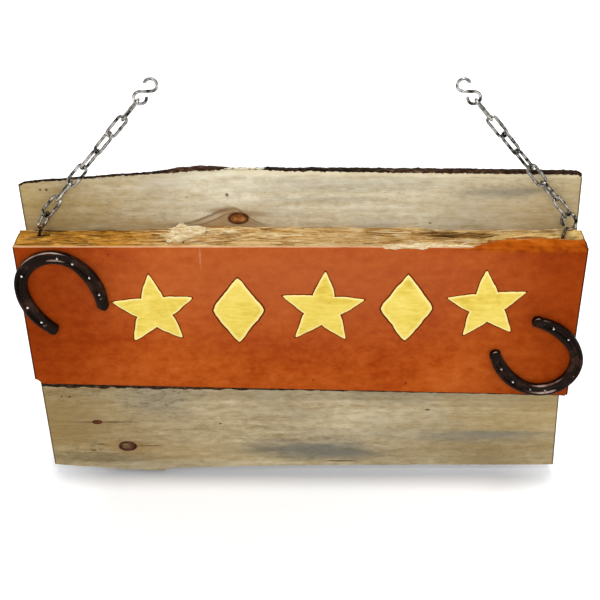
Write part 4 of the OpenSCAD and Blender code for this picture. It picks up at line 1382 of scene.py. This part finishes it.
# %% Nail tree
def nail_tree():
    tree, need = new_tree("nail_heads", [
        ("Head", NUMBER, 0.0042), ("Height", NUMBER, 0.0027), ("Roll", NUMBER, 0.5), ("Along", NUMBER, 0.0),
        ("Seed", WHOLE, 7)])
    head, roll = Field(tree, need["Head"]), Field(tree, need["Roll"])
    wedge = step(tree, "GeometryNodeMeshCone", {
        "Vertices": 4, "Radius Top": head * 0.42, "Radius Bottom": head * 0.6, "Depth": need["Height"],
        "Side Segments": 2, "Fill Segments": 2})
    worn = step(tree, "GeometryNodeSubdivisionSurface", {"Mesh": wedge, "Level": 2, "Edge Crease": 0.45})
    turn = step(tree, "FunctionNodeRandomValue",
                {"Min": roll * -1.0, "Max": roll, "Seed": need["Seed"]}, data_type="FLOAT")
    spin = Field(tree, turn) + Field(tree, need["Along"])
    aim = step(tree, "ShaderNodeCombineXYZ", {0: math.pi / 2, 1: spin})
    put = step(tree, "GeometryNodeInstanceOnPoints",
               {"Points": need["Geometry"], "Instance": worn, "Rotation": aim})
    return end_tree(tree, need, step(tree, "GeometryNodeSetShadeSmooth", {"Geometry": put}))


def nail_finish():
    finish = Finish("nail_iron", metallic=0.9)
    worn = finish.noise(260.0, 260.0, 260.0, 4.0)
    colour = finish.ramp(worn, (0.38, (60, 48, 40)), (0.62, (240, 232, 224)))
    return finish.done(colour, (worn - 0.5) * 0.3 + 0.3, finish.bump(worn, 0.0004))


NAIL_SEAT = np.array([0.0, 4.8, 0.0])  # a head's middle is this far before the board's face
nails = nail_tree()
nail_metal = nail_finish()
for side, (at, angle, drop) in SHOES.items():
    seats = [p - NAIL_SEAT for p in nail_spots[side] if over_board(p)]
    heads = run_tree(blank(f"{side}_nail_heads", seats), nails, {
        "Along": math.radians(45 - angle), "Material": nail_metal})
    join_frame(heads, "sign", [f"{side}_shoe_nails"])

# %% [markdown]
# ## Eyes, hooks and screws
# These solids already have the right shape, so they keep it and only get a finish. The screws from the
# back are yellow zinc.

# %% Finishes on solids
def yellow_zinc():
    finish = Finish("yellow_zinc", metallic=1.0)
    bloom = finish.noise(220.0, 220.0, 220.0, 4.0)
    colour = finish.ramp(bloom, (0.3, (150, 112, 52)), (0.55, (204, 166, 92)), (0.75, (190, 180, 130)))
    return finish.done(colour, (bloom - 0.5) * 0.3 + 0.34, finish.bump(bloom, 0.0002))


screw_zinc = yellow_zinc()
solid_finishes = {"left_screw_eye": eye_zinc, "right_screw_eye": eye_zinc,
                  "left_hook": hook_zinc, "right_hook": hook_zinc,
                  "upper_plank_screws": screw_zinc, "lower_plank_screws": screw_zinc}
for name, finish in solid_finishes.items():
    mesh = nodes[name].data
    mesh.materials.clear()
    mesh.materials.append(finish)
    print("finished solid:", name, "in", finish.name)

# %% [markdown]
# ## Floor, light and camera
# The photograph is a plain product picture: a white floor that melts into white, one soft shadow under
# the sign, and light from all round with a little more from above and the front. The floor glows a
# little more with distance, and beside the sign, so that only the shadow under the sign is left on it.

# %% Floor
FLOOR_Z = -0.6405
FLOOR_HALF = 40
FLOOR_DIM = (243.4, 243.4, 243.4)
FLOOR_PALE = (245.8, 245.8, 245.8)
floor_mesh = bpy.data.meshes.new("studio_floor")
corners = [(across * FLOOR_HALF, deep * FLOOR_HALF, FLOOR_Z)
           for across, deep in ((-1, -1), (1, -1), (1, 1), (-1, 1))]
floor_mesh.from_pydata(corners, [], [(0, 1, 2, 3)])
floor = add_object("studio_floor", floor_mesh)
white = Finish("studio_white", specular=0.0)
far = white.x * white.x + white.y * white.y
glow = far.smooth(0.1, 1.6) * 0.24 + far.smooth(6.0, 50.0) * 0.34 + 0.03
glow = glow + white.x.math("ABSOLUTE").smooth(0.28, 0.42) * 0.3 + white.x.smooth(-0.1, 0.4) * 0.06
feed(white.tree, white.shader.inputs["Emission Color"], (255, 255, 255))
feed(white.tree, white.shader.inputs["Emission Strength"], glow)
paper = white.ramp(white.noise(0.4, 0.4, 0.4, 1.0), (0.2, FLOOR_DIM), (0.8, FLOOR_PALE))
floor_mesh.materials.append(white.done(paper, 1.0))
print("floor at", FLOOR_Z, "m")

# %% Sky
# Brightness of the sky by height: bright round the horizon, dim above it, brighter overhead.
SKY_LEVELS = ((0.0, 1.85), (0.15, 1.85), (0.23, 0.3), (0.6, 1.0))
world = bpy.data.worlds.new("studio_sky")
bpy.context.scene.world = world
world.use_nodes = True
sky = world.node_tree
aim = sky.nodes.new("ShaderNodeTexCoord")
split = sky.nodes.new("ShaderNodeSeparateXYZ")
fall = sky.nodes.new("ShaderNodeValToRGB")
sky.links.new(aim.outputs["Generated"], split.inputs[0])
sky.links.new(split.outputs[2], fall.inputs[0])
while len(fall.color_ramp.elements) < len(SKY_LEVELS):
    fall.color_ramp.elements.new(0.5)
for key, (place, level) in zip(fall.color_ramp.elements, SKY_LEVELS):
    key.position = place
    key.color = (level * 0.97, level * 0.99, level * 1.03, 1.0)
sky.links.new(fall.outputs[0], sky.nodes["Background"].inputs["Color"])
sky.nodes["Background"].inputs["Strength"].default_value = 0.56
print("sky:", len(SKY_LEVELS), "levels from the horizon up")

# %% Lamps
def soft_light(name, place, target, size, watts):
    """A round lamp at a place, aimed at a target; sizes in metres."""
    data = bpy.data.lights.new(name, "AREA")
    data.shape = "DISK"
    data.size = size
    data.energy = watts
    lamp = add_object(name, data)
    lamp.location = place
    lamp.rotation_euler = (Vector(target) - Vector(place)).to_track_quat("-Z", "Y").to_euler()
    print("lamp:", name, watts, "W")


soft_light("overhead", (0.0, -0.98, 6.0), (0.0, 0.0, -0.5), 1.5, 240.0)
soft_light("front_left", (-1.3, -1.9, 0.9), (0.0, 0.0, -0.35), 1.0, 3.6)
soft_light("glint", (0.35, -1.5, 1.3), (0.0, 0.0, -0.35), 0.25, 8.0)

# %% Camera
LENS = 66.0
LOOK_DOWN = 31.6
camera_data = bpy.data.cameras.new("photo_camera")
camera_data.sensor_width = 36.0
camera_data.lens = LENS
camera = add_object("photo_camera", camera_data)
camera.location = (-0.0088, -1.2926, 0.4797)
camera.rotation_euler = (math.radians(90 - LOOK_DOWN), 0.0, 0.0)
bpy.context.scene.camera = camera
bpy.context.scene.view_settings.view_transform = "Standard"
print("camera:", LENS, "mm lens, looking", LOOK_DOWN, "degrees down")
